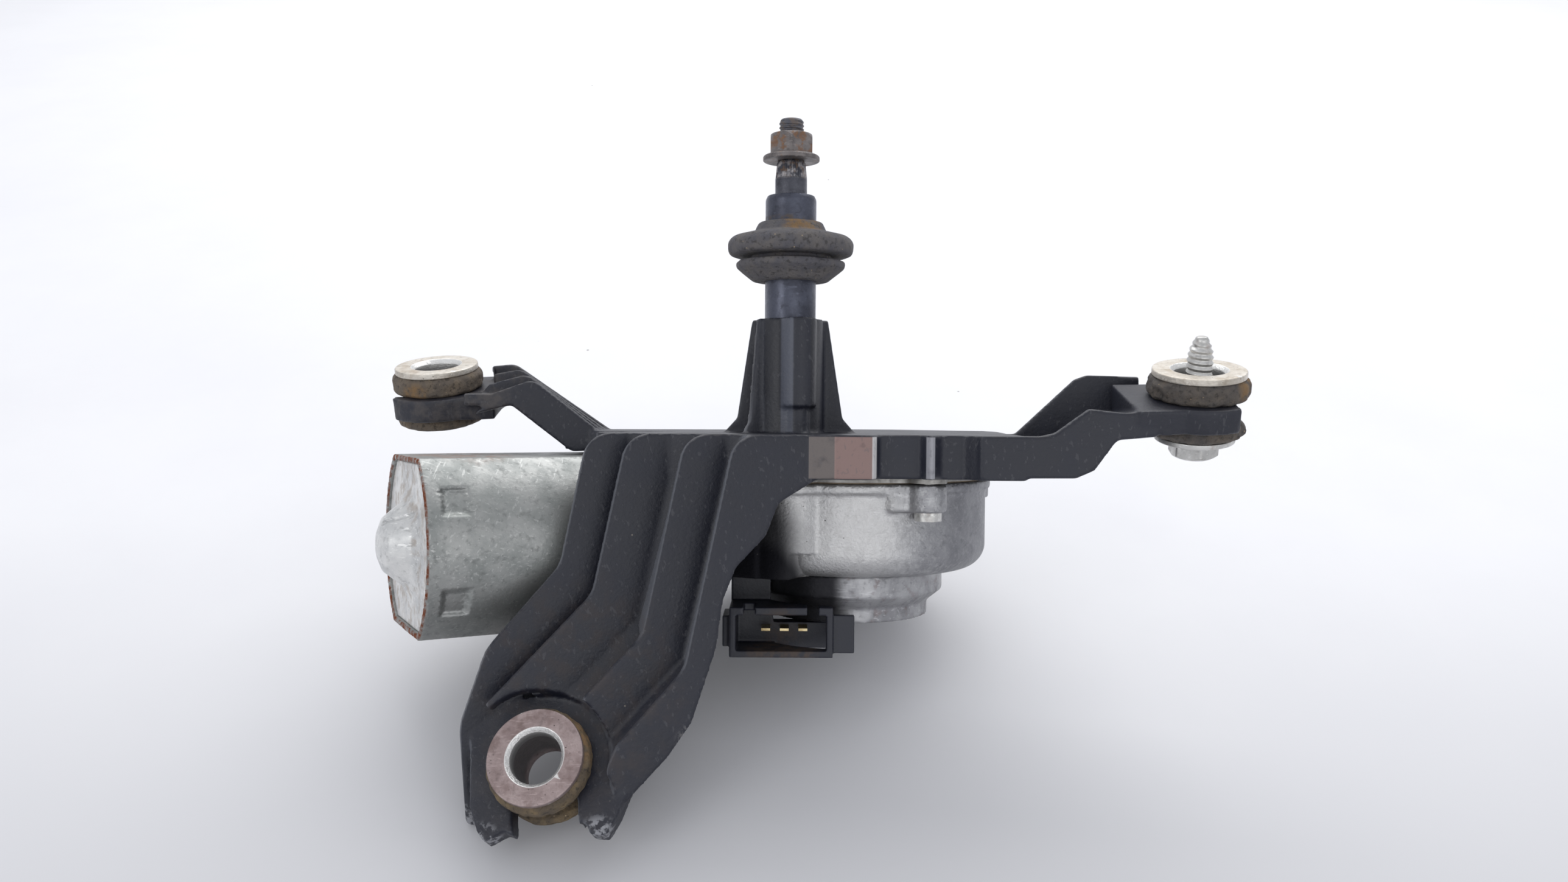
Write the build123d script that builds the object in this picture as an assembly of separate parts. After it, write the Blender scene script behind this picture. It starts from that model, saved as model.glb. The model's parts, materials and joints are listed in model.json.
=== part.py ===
"""Rear windshield wiper motor on its bracket: spindle, gearbox, linkage and three rubber-bushed feet.

Everything is drawn in the spindle's own frame (Z along the spindle, origin where the spindle's axis
meets the top of the bracket plate, X to the right, Y to the rear) and is then leaned back as one
piece, so that the unit lies on a bench the way it does when it is put down.
"""
from build123d import *
import math
import os

# ---------- driving dimensions (mm, degrees) ----------
LEAN = 31.47                 # how far the spindle leans back when the unit lies on a bench
SHIFT = (-1.33, 16.5, 84.84) # the spindle frame's origin, seen from under the middle of the leaned unit

PLATE_T = 3.0                # skin of the bracket plate
RIM_H = 13.3                 # height of the plate's rim
WALL = 2.8                   # ribs and walls of the bracket

TOWER_TOP = 35.6             # top of the plastic tower round the spindle tube
TOWER_R = 10.4

TUBE_R = 8.0                 # spindle tube
TUBE_BORE_R = 7.0
TUBE_TOP = 74.2
SHAFT_R = 5.0                # spindle
THREAD_R = 4.0
THREAD_TOP = 98.3
NUT_Z = 85.2
NUT_H = 8.4
NUT_FLATS = 13.0
FLANGE_R = 8.9

COVER_TOP = -13.3            # steel cover of the gear housing, under the plate
COVER_T = 1.5
GASKET_T = 0.4
HOUSING_TOP = COVER_TOP - COVER_T - GASKET_T
HOUSING_FLOOR = -42.0        # inner floor of the gear housing
HOUSING_BOTTOM = -45.0
HOUSING_R = 45.0
HOUSING_WALL = 3.0
FLANGE_T = 3.2

MOTOR_ANGLE = 28.5           # motor axis, turned from X towards Y
MOTOR_END = (-121.0, -2.0)   # centre of the motor's free end
MOTOR_Z = -35.7
CAN_R = 33.5                 # motor can, outside
CAN_FLAT = 27.6              # half the distance over the can's two flats
CAN_T = 1.8
CAN_L = 88.0

WORM_T = 142.0               # distance of the worm's middle from the free end
WORM_R = 6.0                 # pitch radius
WORM_BORE = 8.2              # room round the worm in the housing's tunnel
TUNNEL_R = 12.3
TUNNEL_END = 174.0
MODULE = 1.0
WHEEL_TEETH = 64
WHEEL_R = MODULE * WHEEL_TEETH / 2
CENTRE_GAP = WORM_R + WHEEL_R
WHEEL_Z0 = -40.2
WHEEL_Z1 = -31.0

PINION_TEETH = 17
PINION_R = MODULE * PINION_TEETH / 2
CRANK_R = 8.0
ROD_L = 38.0

BUSH_FLANGE_R = 13.9         # steel sleeve's flange
BUSH_BORE_R = 7.4
SLEEVE_R = 8.8
RUBBER_R = 15.2
GROOVE_R = 11.4              # rubber, where the foot grips it
FOOT_T = 7.6                 # thickness of each foot
SLEEVE_L = 20.6
RUBBER_TOP = 2.0             # flange thickness of the steel sleeve
FOOT_FACE = 8.4              # from the sleeve's top face down to the foot's face

LEG_ANGLE = 20.0             # plan direction of the front leg's ribs, from -X towards -Y

# top of each bush (centre of the sleeve's flange face) and the way it points
LEFT_FOOT = ((-121.8, 35.0, 22.0), (-0.035, -0.276, 0.961))
RIGHT_FOOT = ((124.0, -15.0, 20.6), (-0.035, -0.276, 0.961))
FRONT_FOOT = ((-71.4, -43.5, -90.8), (-0.10, -0.84, 0.53))

os.makedirs("parts", exist_ok=True)


# ---------- helpers ----------
def cyl(radius, z0, z1, x=0.0, y=0.0):
    """Round bar from z0 to z1."""
    return Pos(x, y, (z0 + z1) / 2) * Cylinder(radius, abs(z1 - z0))


def ring(outer, inner, z0, z1, x=0.0, y=0.0):
    """Round tube from z0 to z1."""
    return cyl(outer, z0, z1, x, y) - cyl(inner, z0 - 1, z1 + 1, x, y)


def slab(x0, x1, y0, y1, z0, z1):
    """Straight block between two corners."""
    size = (abs(x1 - x0), abs(y1 - y0), abs(z1 - z0))
    return Pos((x0 + x1) / 2, (y0 + y1) / 2, (z0 + z1) / 2) * Box(*size)


def prism(points, z0, z1):
    """Polygon in XY, raised from z0 to z1."""
    face = Plane.XY.offset(z0) * make_face(Polyline(*points, close=True))
    return extrude(face, z1 - z0)


def panel(points, y0, y1):
    """Polygon in XZ, drawn along Y from y0 to y1."""
    face = Plane.XZ.offset(-y0) * make_face(Polyline(*points, close=True))
    return extrude(face, -(y1 - y0))


def rounded(points, radii):
    """Face of a polygon whose corners are rounded by the radii given for them."""
    return make_face(FilletPolyline(*points, radius=radii, close=True))


def spun(profile):
    """Solid of revolution about Z from (radius, height) points."""
    return revolve(Plane.XZ * make_face(Polyline(*profile, close=True)), Axis.Z)


def on_axis(place, shape):
    """Move a shape drawn down from z=0 so that its z axis points along the given direction."""
    top, direction = place
    side = Vector(0, 1, 0).cross(Vector(*direction))
    return Plane(origin=top, x_dir=side, z_dir=direction).location * shape


MOTOR_DIR = Vector(math.cos(math.radians(MOTOR_ANGLE)), math.sin(math.radians(MOTOR_ANGLE)), 0)
MOTOR_SIDE = Vector(MOTOR_DIR.Y, -MOTOR_DIR.X, 0)
MOTOR_PLANE = Plane(origin=(*MOTOR_END, MOTOR_Z), x_dir=MOTOR_SIDE, z_dir=MOTOR_DIR)
WHEEL_CENTRE = Vector(*MOTOR_END, 0) + MOTOR_DIR * WORM_T + MOTOR_SIDE * CENTRE_GAP
WHEEL_X = WHEEL_CENTRE.X
WHEEL_Y = WHEEL_CENTRE.Y


def motor(shape):
    """Place a shape drawn along Z from the motor's free end; local X is level, local Y is up."""
    return MOTOR_PLANE.location * shape


def export(shape, node):
    """Lean the finished piece back, lift it onto the bench and write it."""
    placed = Pos(*SHIFT) * Rot(-LEAN, 0, 0) * shape
    export_step(placed, f"parts/{node}.step")


# ---------- bracket ----------
LEG_DIR = (-math.cos(math.radians(LEG_ANGLE)), -math.sin(math.radians(LEG_ANGLE)))
LEG_SIDE = (-LEG_DIR[1], LEG_DIR[0])
LEG_LEFT = -5.6              # offset of the left outer rib across the leg
LEG_RIGHT = 23.1             # offset of the right outer rib across the leg
LEG_RIBS = (2.4, 13.7)       # offsets of the two inner ribs
RIB_DEPTH = 16.0             # depth of the inner ribs
POCKET = 13.5                # depth of the pockets between the ribs


def leg_face(outline, side0, side1):
    """Outline in the leg's own upright plane (distance along the leg, height), drawn across it."""
    origin = (LEG_SIDE[0] * side1, LEG_SIDE[1] * side1, 0)
    away = (-LEG_SIDE[0], -LEG_SIDE[1], 0)
    plane = Plane(origin=origin, x_dir=(*LEG_DIR, 0), z_dir=away)
    return extrude(plane * outline, side1 - side0)


def knee(side):
    """Where the leg's front edge leaves the plate, and where it bends, at one offset across it."""
    top = 63.0 - 1.316 * (side + 5.5)
    bend_z = -39.9 - 0.99 * (side + 5.5)
    return (top, 0.0), (top - 0.22 * bend_z, bend_z)


def behind(corner, depth):
    """Point of the leg's profile that lies straight behind its bend, at that depth."""
    return (corner[0] - 0.914 * depth, corner[1] - 0.5 * depth)


def leg_rib(side, foot_end):
    """One inner rib: rounds over from the plate, drops, bends and runs down to the foot."""
    top, bend = knee(side)
    low = (foot_end, bend[1] - (foot_end - bend[0]))
    points = [(top[0] - 24, 0.0), top, bend, low, (low[0] - 12, low[1] - 12),
              behind(bend, RIB_DEPTH), (top[0] - RIB_DEPTH - 1, -10.0), (top[0] - 24, -10.0)]
    outline = rounded(points, [0, 9.0, 9.0, 0, 0, 9.0, 2.0, 0])
    return leg_face(outline, side - WALL / 2, side + WALL / 2)


def floor_section(side, top_depth, bend_depth):
    """Section of the pockets' floor at one offset across the leg, that deep at its top and at its bend."""
    top, bend = knee(side)
    front = behind(bend, bend_depth)
    back = behind(bend, bend_depth + WALL)
    run = 26.0
    points = [(top[0] - top_depth - 0.3, -0.5), front, (front[0] + run, front[1] - run),
              (back[0] + run, back[1] - run), back, (top[0] - top_depth - WALL - 0.4, -0.5)]
    spots = [(w * LEG_DIR[0] + side * LEG_SIDE[0], w * LEG_DIR[1] + side * LEG_SIDE[1], z) for w, z in points]
    return make_face(Polyline(*spots, close=True))


def leg_floor():
    """Floor that joins the ribs behind the pockets; it rises to the shallow right wall."""
    left = floor_section(LEG_LEFT, POCKET, POCKET)
    middle = floor_section(LEG_RIBS[1], POCKET, POCKET)
    right = floor_section(LEG_RIGHT, 6.5, 3.0)
    return loft([left, middle], ruled=True) + loft([middle, right], ruled=True)


def rib_pad():
    """Thicker stretch on the left of the third rib."""
    side = LEG_RIBS[1] - WALL / 2 + 0.2
    top, bend = knee(LEG_RIBS[1])
    corners = [(side, -23.0), (side - 5.6, -57.0), (side, -60.0)]
    spots = []
    for across, z in corners:
        w = top[0] - 0.22 * z
        spots.append((w * LEG_DIR[0] + across * LEG_SIDE[0], w * LEG_DIR[1] + across * LEG_SIDE[1], z))
    face = make_face(Polyline(*spots, close=True))
    inward = (-LEG_DIR[0], -LEG_DIR[1], 0)
    return extrude(face, amount=7.0, dir=inward)


def leg_left_wall():
    """Outer rib beside the motor, down to the tip of the left prong."""
    points = [(38, 0), (63, 0), (71.3, -39.9), (93, -64), (100.6, -86), (98.6, -116.2),
              (90.5, -114.1), (89, -92), (80, -74), (60, -50), (52, -22), (44, -12), (38, -12)]
    outline = rounded(points, [0, 9, 10, 14, 16, 2, 2, 8, 8, 8, 8, 3, 0])
    return leg_face(outline, LEG_LEFT - WALL / 2, LEG_LEFT + WALL / 2)


def leg_right_wall():
    """Outer rib towards the connector: a deep wall that runs from the plate's rim to the right prong."""
    points = [(0, 0), (25.5, 0), (40.5, -67.6), (60, -88), (70, -109), (64, -110.5), (45, -92),
              (38, -82.4), (31, -62), (29, -48), (25, -38.6), (15.8, -29.6), (12.2, -20.3), (0, -13.3)]
    outline = rounded(points, [0, 9, 10, 8, 1.5, 1.5, 5, 5, 8, 4, 5, 6, 5, 0])
    return leg_face(outline, LEG_RIGHT - WALL / 2, LEG_RIGHT + WALL / 2)


def foot_plate(outline, place, turn):
    """A foot: a flat pad under the bush, drawn in the foot's own plane and turned in it."""
    pad = extrude(outline, -FOOT_T)
    return on_axis(place, Pos(0, 0, -FOOT_FACE) * Rot(0, 0, turn) * pad)


def open_slot(length):
    """Room for the bush's groove: a round seat with a straight mouth along +X."""
    return Circle(GROOVE_R + 0.02) + Pos(length / 2, 0) * Rectangle(length, 2 * GROOVE_R - 4.0)


def seat_outline(reach, back, half):
    """Outline of a side foot: round about the bush, cut off square at +X, with a neck to -X."""
    body = Circle(17.6) & Pos(reach - 30, 0) * Rectangle(60, 60)
    neck = Pos(-back / 2, 0) * Rectangle(back, 2 * half)
    return body + neck - open_slot(40)


FRONT_FOOT_OUTLINE = [(-21.0, 13.0), (-21.6, -8.0), (-19.6, -15.4), (-17.6, -18.6), (-11.0, -16.4),
                      (-9.6, -11.5), (9.6, -11.5), (12.4, -21.6), (16.6, -22.8), (20.4, -18.0),
                      (31.3, 2.3), (33.0, 10.0), (20.0, 21.0), (-12.0, 21.0)]
FOOT_FLOOR_OUTLINE = [(-20.5, 8.0), (-19.0, 24.0), (4.0, 48.0), (16.0, 46.0), (38.0, 22.0), (33.0, 6.0),
                      (26.0, -4.0), (10.0, 0.0), (-10.0, 0.0)]


def front_foot():
    """Pad of the front foot, with its mouth downwards and its two broken prongs, and the floor above it."""
    face = make_face(Polyline(*FRONT_FOOT_OUTLINE, close=True)) + Circle(20.5)
    face -= Rot(0, 0, -90) * open_slot(40)
    pad = foot_plate(face, FRONT_FOOT, 0)
    sheet = make_face(Polyline(*FOOT_FLOOR_OUTLINE, close=True)) - Circle(GROOVE_R + 3)
    return pad + on_axis(FRONT_FOOT, Pos(0, 0, -FOOT_FACE - 4.0) * extrude(sheet, -3.2))


def front_leg():
    """The ribbed leg that drops in front of the motor, bends and ends in the front foot."""
    leg = leg_left_wall() + leg_right_wall() + leg_floor() + rib_pad()
    ends = (94.0, 78.0)
    for side, end in zip(LEG_RIBS, ends):
        leg += leg_rib(side, end)
    leg -= on_axis(FRONT_FOOT, cyl(20.4, -FOOT_FACE, 40))
    leg -= on_axis(FRONT_FOOT, Pos(0, -14, 0) * cyl(20.4, -FOOT_FACE, 40))
    leg -= on_axis(FRONT_FOOT, slab(-14, 80, -60, 60, -60, -FOOT_FACE - FOOT_T))
    leg -= on_axis(FRONT_FOOT, cyl(16.4, -60, -FOOT_FACE - FOOT_T))
    leg -= on_axis(FRONT_FOOT, cyl(GROOVE_R + 0.02, -60, 0))
    return leg + front_foot()


def tower():
    """Ribbed plastic tower that holds the spindle tube."""
    sleeve_body = cyl(TOWER_R, -4, TOWER_TOP)
    side_profile = [(-20.8, 0), (-16.6, 4.6), (-12.0, TOWER_TOP), (12.0, TOWER_TOP), (16.8, 4.6),
                    (20.8, 0), (20.8, -2), (-20.8, -2)]
    cross = panel(side_profile, 1.0, 1.0 + WALL)
    half = [(0, -2), (0, TOWER_TOP), (12, TOWER_TOP), (17, 4.6), (21, 0), (21, -2)]
    back = Rot(0, 0, 90) * panel(half, -WALL / 2, WALL / 2)
    edge = [(-15.5, -2), (-15.5, 1.5), (-14.2, 3.5), (-11.4, TOWER_TOP), (0, TOWER_TOP), (0, -2)]
    front = Rot(0, 0, 28) * panel(edge, -WALL / 2, WALL / 2)
    boss = cyl(5.6, 8.2, TOWER_TOP, 2.6, -8.6) + cyl(3.2, -2, 9, 2.6, -9.4)
    return sleeve_body + cross + back + front + boss


PLATE_OUTLINE = [(-59.5, -3.5), (-59.5, -10.0), (-14.0, -24.2), (-11.0, -29.8), (5.6, -24.0), (15.0, -25.4),
                 (24.6, -25.8),
                 (27.0, -20.0), (39.0, -19.6), (42.0, -24.6), (45.5, -20.6), (52.0, -21.0), (57.0, -26.0),
                 (70.0, -26.0), (71.0, 9.0), (74.0, 44.0), (72.0, 60.0), (60.0, 64.0), (40.0, 78.0), (8.0, 76.0),
                 (-17.0, 58.0), (-25.0, 12.0)]
SCREW_SPOTS = [(42.5, -12.5), (66.5, 54.0), (-21.0, -13.5)]


def plate():
    """The plate: a shallow upside-down tray, with a thin shelf over the motor for the left arm."""
    outer = prism(PLATE_OUTLINE, -RIM_H, 0)
    inner = offset(make_face(Polyline(*PLATE_OUTLINE, close=True)), -WALL)
    tray = outer - extrude(Plane.XY.offset(-RIM_H - 1) * inner, RIM_H + 1 - PLATE_T)
    shelf = prism([(-76.0, 26.0), (-61.0, 14.0), (-20.0, 4.0), (-16.0, 58.0), (-62.0, 47.0)], -6.5, 0)
    return tray + shelf


def tray_ribs():
    """Stiffening ribs under the plate's skin, trimmed to the tray."""
    ribs = slab(-26, 68, -1.4, 1.4, -RIM_H, -1)
    ribs += slab(-16, 68, 38.6, 41.4, -RIM_H, -1)
    ribs += slab(20.6, 23.4, -22, 74, -RIM_H, -1)
    ribs += slab(46.6, 49.4, -18, 68, -RIM_H, -1)
    return ribs & prism(PLATE_OUTLINE, -RIM_H, 0)


def right_arm():
    """Arm to the right foot: a low front rib and a high rear rib with a web between."""
    front = panel([(56, -12.6), (84.6, -12.4), (90, -10), (96.5, -1.0), (108, 0.0), (108, 8.0),
                   (99, 7.0), (88.2, 8.2), (78.3, 1.0), (74, 0), (56, 0)], -26.0, -23.2)
    rear = panel([(56, -12.6), (84.6, -12.4), (97, 2.0), (112, 9.0), (112, 18.6), (95.2, 19.0),
                  (91.3, 17.6), (72.5, 0), (56, 0)], 5.4, 8.2)
    web = panel([(56, -12.4), (84.6, -12.2), (97, -1), (108, 4.0), (108, 8.0), (94, 6.0), (80, -6.0),
                 (56, -6.0)], -25.0, 7.0)
    return front + rear + web


def left_arm():
    """Arm to the left foot: a web with four ribs on top, highest at the back."""
    arm = panel([(-66, -6.5), (-73, -6.5), (-92, 8.0), (-108, 8.0), (-108, 12.0), (-93, 12.0),
                 (-62, -2.5)], 18.0, 47.0)
    for y in (18.0, 26.5, 35.0, 44.2):
        back = y - 18.0
        peak = (-85.0 - 0.45 * back, 16.8 + 0.226 * back)
        end = (-98.0 - 0.42 * back, 12.2 + 0.36 * back)
        outline = [(-58, 0), (-62.5, -0.6), peak, end, (end[0] - 4, end[1] - 5), (-105, 5.0 + 0.2 * back),
                   (-91, 8.6), (-72, -7.0), (-60, -6.5)]
        face = rounded(outline, [0, 1.0, 5.0, 1.0, 1.0, 0, 6.0, 1.0, 0])
        arm += extrude(Plane.XZ.offset(-y) * face, -WALL)
    return arm


def bracket():
    """The glass-filled plastic carrier: one moulding."""
    body = plate() + tray_ribs() + tower() + right_arm() + left_arm()
    for spot in SCREW_SPOTS:
        body += cyl(5.5, -RIM_H, -1, *spot)
    for place in (LEFT_FOOT, RIGHT_FOOT):
        body -= on_axis(place, cyl(19.5, -FOOT_FACE, 30))
    body += foot_plate(seat_outline(12.5, 22, 15), LEFT_FOOT, 180)
    body += foot_plate(seat_outline(8.0, 22, 15.5), RIGHT_FOOT, 0)
    for place in (LEFT_FOOT, RIGHT_FOOT):
        body -= on_axis(place, cyl(16.4, -60, -FOOT_FACE - FOOT_T))
        body -= on_axis(place, cyl(GROOVE_R + 0.02, -60, 0))
    body += front_leg()
    body -= cyl(TUBE_R, -20, TOWER_TOP + 10)
    body -= cyl(9.6, -RIM_H - 1, COVER_TOP + 3.4)
    for spot in SCREW_SPOTS:
        body -= cyl(1.9, -20, -3.5, *spot)
    return body


# ---------- bushes ----------
def rubber_bush():
    """Grooved rubber bush round the sleeve, drawn down from the sleeve's top face."""
    top = -RUBBER_TOP
    bottom = -(SLEEVE_L - 0.4)
    profile = [(SLEEVE_R, top), (RUBBER_R - 1.2, top), (RUBBER_R, top - 1.4), (RUBBER_R, -FOOT_FACE + 1.0),
               (RUBBER_R - 1.0, -FOOT_FACE), (GROOVE_R, -FOOT_FACE), (GROOVE_R, -FOOT_FACE - FOOT_T),
               (RUBBER_R - 1.0, -FOOT_FACE - FOOT_T), (RUBBER_R - 0.2, bottom + 1.5),
               (RUBBER_R - 1.8, bottom), (SLEEVE_R, bottom)]
    return spun(profile)


def sleeve():
    """Steel sleeve with one flange."""
    return spun([(BUSH_BORE_R, 0), (BUSH_FLANGE_R, 0), (BUSH_FLANGE_R, -RUBBER_TOP), (SLEEVE_R, -RUBBER_TOP),
                 (SLEEVE_R, -SLEEVE_L), (BUSH_BORE_R, -SLEEVE_L)])


def hexagon(flats, z0, z1):
    """Upright hexagonal bar, measured over its flats."""
    face = Plane.XY.offset(z0) * RegularPolygon(flats / 2, 6, major_radius=False)
    return extrude(face, z1 - z0)


def mount_screw():
    """Hexagon screw of the right foot, with its tapered, blunt tip."""
    head = hexagon(13.0, -SLEEVE_L - 1.6 - 5.6, -SLEEVE_L - 1.6)
    shank = spun([(0, -SLEEVE_L - 2), (4.0, -SLEEVE_L - 2), (4.0, 3.0), (3.6, 6.0), (2.5, 8.6),
                  (1.5, 10.0), (0, 10.0)])
    return head + shank


def mount_washer():
    """Plain washer under the right foot's screw."""
    return ring(12.0, 4.3, -SLEEVE_L - 1.6, -SLEEVE_L)


# ---------- spindle ----------
def spindle_tube():
    """Tube that carries the spindle, with its flange under the tower."""
    return spun([(TUBE_BORE_R, COVER_TOP), (9.5, COVER_TOP), (9.5, COVER_TOP + 3.0), (TUBE_R, COVER_TOP + 3.0),
                 (TUBE_R, TUBE_TOP - 1.2), (TUBE_R - 0.6, TUBE_TOP), (TUBE_BORE_R, TUBE_TOP)])


def plain_bush(z0, z1):
    """Sintered bearing bush in the tube."""
    return ring(TUBE_BORE_R, SHAFT_R + 0.03, z0, z1)


def seal_ring():
    """Rubber seal in the top of the tube."""
    return ring(TUBE_BORE_R - 0.1, SHAFT_R + 0.05, 71.6, 73.8)


def spindle():
    """Stepped wiper spindle: journal, knurled taper, thread."""
    return spun([(0, -28.0), (SHAFT_R, -28.0), (SHAFT_R, 79.6), (4.5, 84.6), (3.96, 85.1),
                 (3.96, THREAD_TOP - 1.0), (3.2, THREAD_TOP), (0, THREAD_TOP)])


def spindle_nut():
    """Hexagon flange nut."""
    flange = spun([(0, NUT_Z), (FLANGE_R, NUT_Z), (FLANGE_R, NUT_Z + 1.3), (6.6, NUT_Z + 2.6), (0, NUT_Z + 2.6)])
    crown = spun([(0, NUT_Z), (9.0, NUT_Z), (9.0, NUT_Z + 6.6), (6.6, NUT_Z + NUT_H), (0, NUT_Z + NUT_H)])
    body = flange + (hexagon(NUT_FLATS, NUT_Z + 1, NUT_Z + NUT_H) & crown)
    return body - cyl(THREAD_R, NUT_Z - 1, NUT_Z + NUT_H + 1)


def grommet():
    """Rubber grommet that seals the tailgate's hole round the tube."""
    return spun([(TUBE_R, 47.5), (11.8, 47.5), (17.0, 51.6), (17.3, 52.6), (17.0, 53.6), (12.5, 54.3),
                 (12.5, 55.2), (19.0, 55.6), (19.8, 57.2), (19.8, 59.4), (18.6, 61.2), (14.0, 62.4),
                 (11.6, 63.0), (10.0, 65.9), (TUBE_R, 65.9)])


# ---------- gearbox ----------
def housing_outline(grow):
    """Plan of the gear housing: round about the wheel, with the motor's neck and the spindle's bay."""
    face = Pos(WHEEL_X, WHEEL_Y) * Circle(HOUSING_R + grow)
    face += Circle(13.6 + grow)
    bay = [(-10.0, -11.0 - grow), (-30.0 - grow, -2.0 - grow), (-38.0 - grow, 12.0), (WHEEL_X, WHEEL_Y)]
    face += make_face(Polyline(*bay, close=True))
    middle = Vector(*MOTOR_END) + MOTOR_DIR * (CAN_L + 31.5) + MOTOR_SIDE * 9.5
    turned = Pos(middle.X, middle.Y) * Rot(0, 0, MOTOR_ANGLE)
    return face + turned * Rectangle(50, 47 + 2 * grow)


def cast_lugs(z0, z1, grow=0.0):
    """Lugs for the three screws that hold the gearbox under the bracket."""
    lugs = cyl(5.8 + grow, z0, z1, *SCREW_SPOTS[0]) + cyl(5.0 + grow, z0, z1, 33.6, -9.4)
    for spot in SCREW_SPOTS[1:]:
        lugs += cyl(5.8 + grow, z0, z1, *spot)
    return lugs


def can_profile(radius, flat):
    """Section of the motor can: a circle with two flats."""
    return Circle(radius) & Rectangle(2 * radius + 2, 2 * flat)


def along(face, t0, t1):
    """Draw a section along the motor axis from t0 to t1."""
    return motor(extrude(Plane.XY.offset(t0) * face, t1 - t0))


def gear_housing():
    """Die-cast gear housing: an open pan with the motor's seat and the worm's tunnel."""
    floor_face = Plane.XY.offset(HOUSING_BOTTOM) * housing_outline(0)
    body = extrude(floor_face, HOUSING_TOP - HOUSING_BOTTOM)
    body += extrude(Plane.XY.offset(HOUSING_TOP - FLANGE_T) * housing_outline(1.6), FLANGE_T)
    body += cast_lugs(HOUSING_TOP - 8.6, HOUSING_TOP)
    body -= extrude(Plane.XY.offset(HOUSING_FLOOR) * housing_outline(-HOUSING_WALL), 60)
    body += cyl(8.0, HOUSING_FLOOR - 1, HOUSING_FLOOR, WHEEL_X, WHEEL_Y)
    tunnel = along(Circle(TUNNEL_R), CAN_L, TUNNEL_END) - cyl(36.0, HOUSING_FLOOR, 0, WHEEL_X, WHEEL_Y)
    body += tunnel & slab(-200, 200, -200, 200, -80, HOUSING_TOP)
    body -= along(Circle(CAN_R + 2), -20, CAN_L)
    body += along(can_profile(CAN_R, CAN_FLAT), CAN_L, CAN_L + 5)
    body += along(Circle(11.0), CAN_L, CAN_L + 10)
    body -= along(Circle(WORM_BORE), CAN_L + 10, TUNNEL_END - 3)
    body -= along(Circle(8.0), CAN_L - 1, CAN_L + 9)
    body -= along(Circle(4.6), CAN_L - 1, CAN_L + 12)
    body -= cyl(4.0, -60, 0, WHEEL_X, WHEEL_Y)
    for spot in SCREW_SPOTS:
        body -= cyl(2.2, -60, 0, *spot)
    return body


def cover_sheet(z0, z1, grow, bore):
    """Flat sheet of the housing's outline with holes for the spindle and the screws."""
    sheet = extrude(Plane.XY.offset(z0) * housing_outline(grow), z1 - z0) + cast_lugs(z0, z1)
    sheet -= along(Circle(50), 0, CAN_L + 5.2)
    sheet -= cyl(bore, z0 - 1, z1 + 1)
    for spot in SCREW_SPOTS:
        sheet -= cyl(2.2, z0 - 1, z1 + 1, *spot)
    return sheet


def gear_cover():
    """Steel sheet that closes the top of the gear housing."""
    return cover_sheet(COVER_TOP - COVER_T, COVER_TOP, 1.6, 5.6)


def gasket():
    """Paper gasket under the cover."""
    sheet = extrude(Plane.XY.offset(HOUSING_TOP) * housing_outline(1.0), GASKET_T)
    sheet -= extrude(Plane.XY.offset(HOUSING_TOP - 1) * housing_outline(-HOUSING_WALL), 3)
    sheet -= along(Circle(50), 0, CAN_L + 5.2)
    return max(sheet.solids(), key=lambda solid: solid.volume)


def housing_screws():
    """Three screws from the gearbox into the bracket's bosses."""
    group = []
    for spot in SCREW_SPOTS:
        x, y = spot
        head = cyl(4.2, HOUSING_TOP - 8.6 - 2.6, HOUSING_TOP - 8.6, x, y)
        head -= cyl(1.9, HOUSING_TOP - 8.6 - 3.6, HOUSING_TOP - 8.6 - 1.4, x, y)
        group.append(head + cyl(1.85, HOUSING_TOP - 8.6 - 0.1, -4.5, x, y))
    return Compound(group)


BELLY_X = 20.0
BELLY_Y = 28.0
BELLY_BOTTOM = -60.6


def bottom_cover():
    """Stepped metal cover under the gear housing, over the park switch."""
    top = HOUSING_BOTTOM
    outer = cyl(32.0, top - 7.0, top, BELLY_X, BELLY_Y)
    outer += Pos(BELLY_X, BELLY_Y, top - 9.0) * Cone(27.0, 32.0, 4.0)
    outer += cyl(27.0, BELLY_BOTTOM, top - 10.0, BELLY_X, BELLY_Y)
    inner = cyl(29.6, top - 6.0, top + 1, BELLY_X, BELLY_Y) + cyl(24.8, BELLY_BOTTOM + 2.2, top, BELLY_X, BELLY_Y)
    return outer - inner - along(Circle(TUNNEL_R + 0.1), CAN_L, TUNNEL_END + 1)


def contact_plate():
    """Moulded plate of the park switch, round the wheel's axle."""
    return ring(24.4, 6.0, -52.0, -49.4, BELLY_X, BELLY_Y)


CONNECTOR = (-18.4, 13.9, -69.8, -54.2)      # left, right, bottom, top of the connector's shell
CONNECTOR_FRONT = -8.0
CONNECTOR_BACK = 13.0


def connector_shell():
    """Three-way plug socket that opens to the front, with its latch block."""
    left, right, low, high = CONNECTOR
    shell = slab(left, right, CONNECTOR_FRONT, CONNECTOR_BACK, low, high)
    shell += slab(right, right + 6.8, CONNECTOR_FRONT + 1.5, 8, low + 1.2, high - 2.6)
    shell += slab(left - 2.2, left, CONNECTOR_FRONT + 2.5, 8, low + 3, high - 3)
    shell -= slab(left + 2, right - 2, CONNECTOR_FRONT - 1, CONNECTOR_BACK - 6, low + 2, high - 2.4)
    for x in (left + 6.2, right - 6.2):
        shell -= slab(x - 1.8, x + 1.8, CONNECTOR_FRONT - 1, 1.0, high - 3, high + 1)
    shell += slab(left, right, CONNECTOR_BACK - 5, CONNECTOR_BACK, high - 1, HOUSING_BOTTOM)
    gap = cyl(32.3, -80, HOUSING_BOTTOM + 1, BELLY_X, BELLY_Y)
    for x in PIN_SPOTS:
        shell -= slab(x - 1.4, x + 1.4, 0, CONNECTOR_BACK + 1, PIN_Z - 0.4, PIN_Z + 0.4)
    return shell - gap


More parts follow.
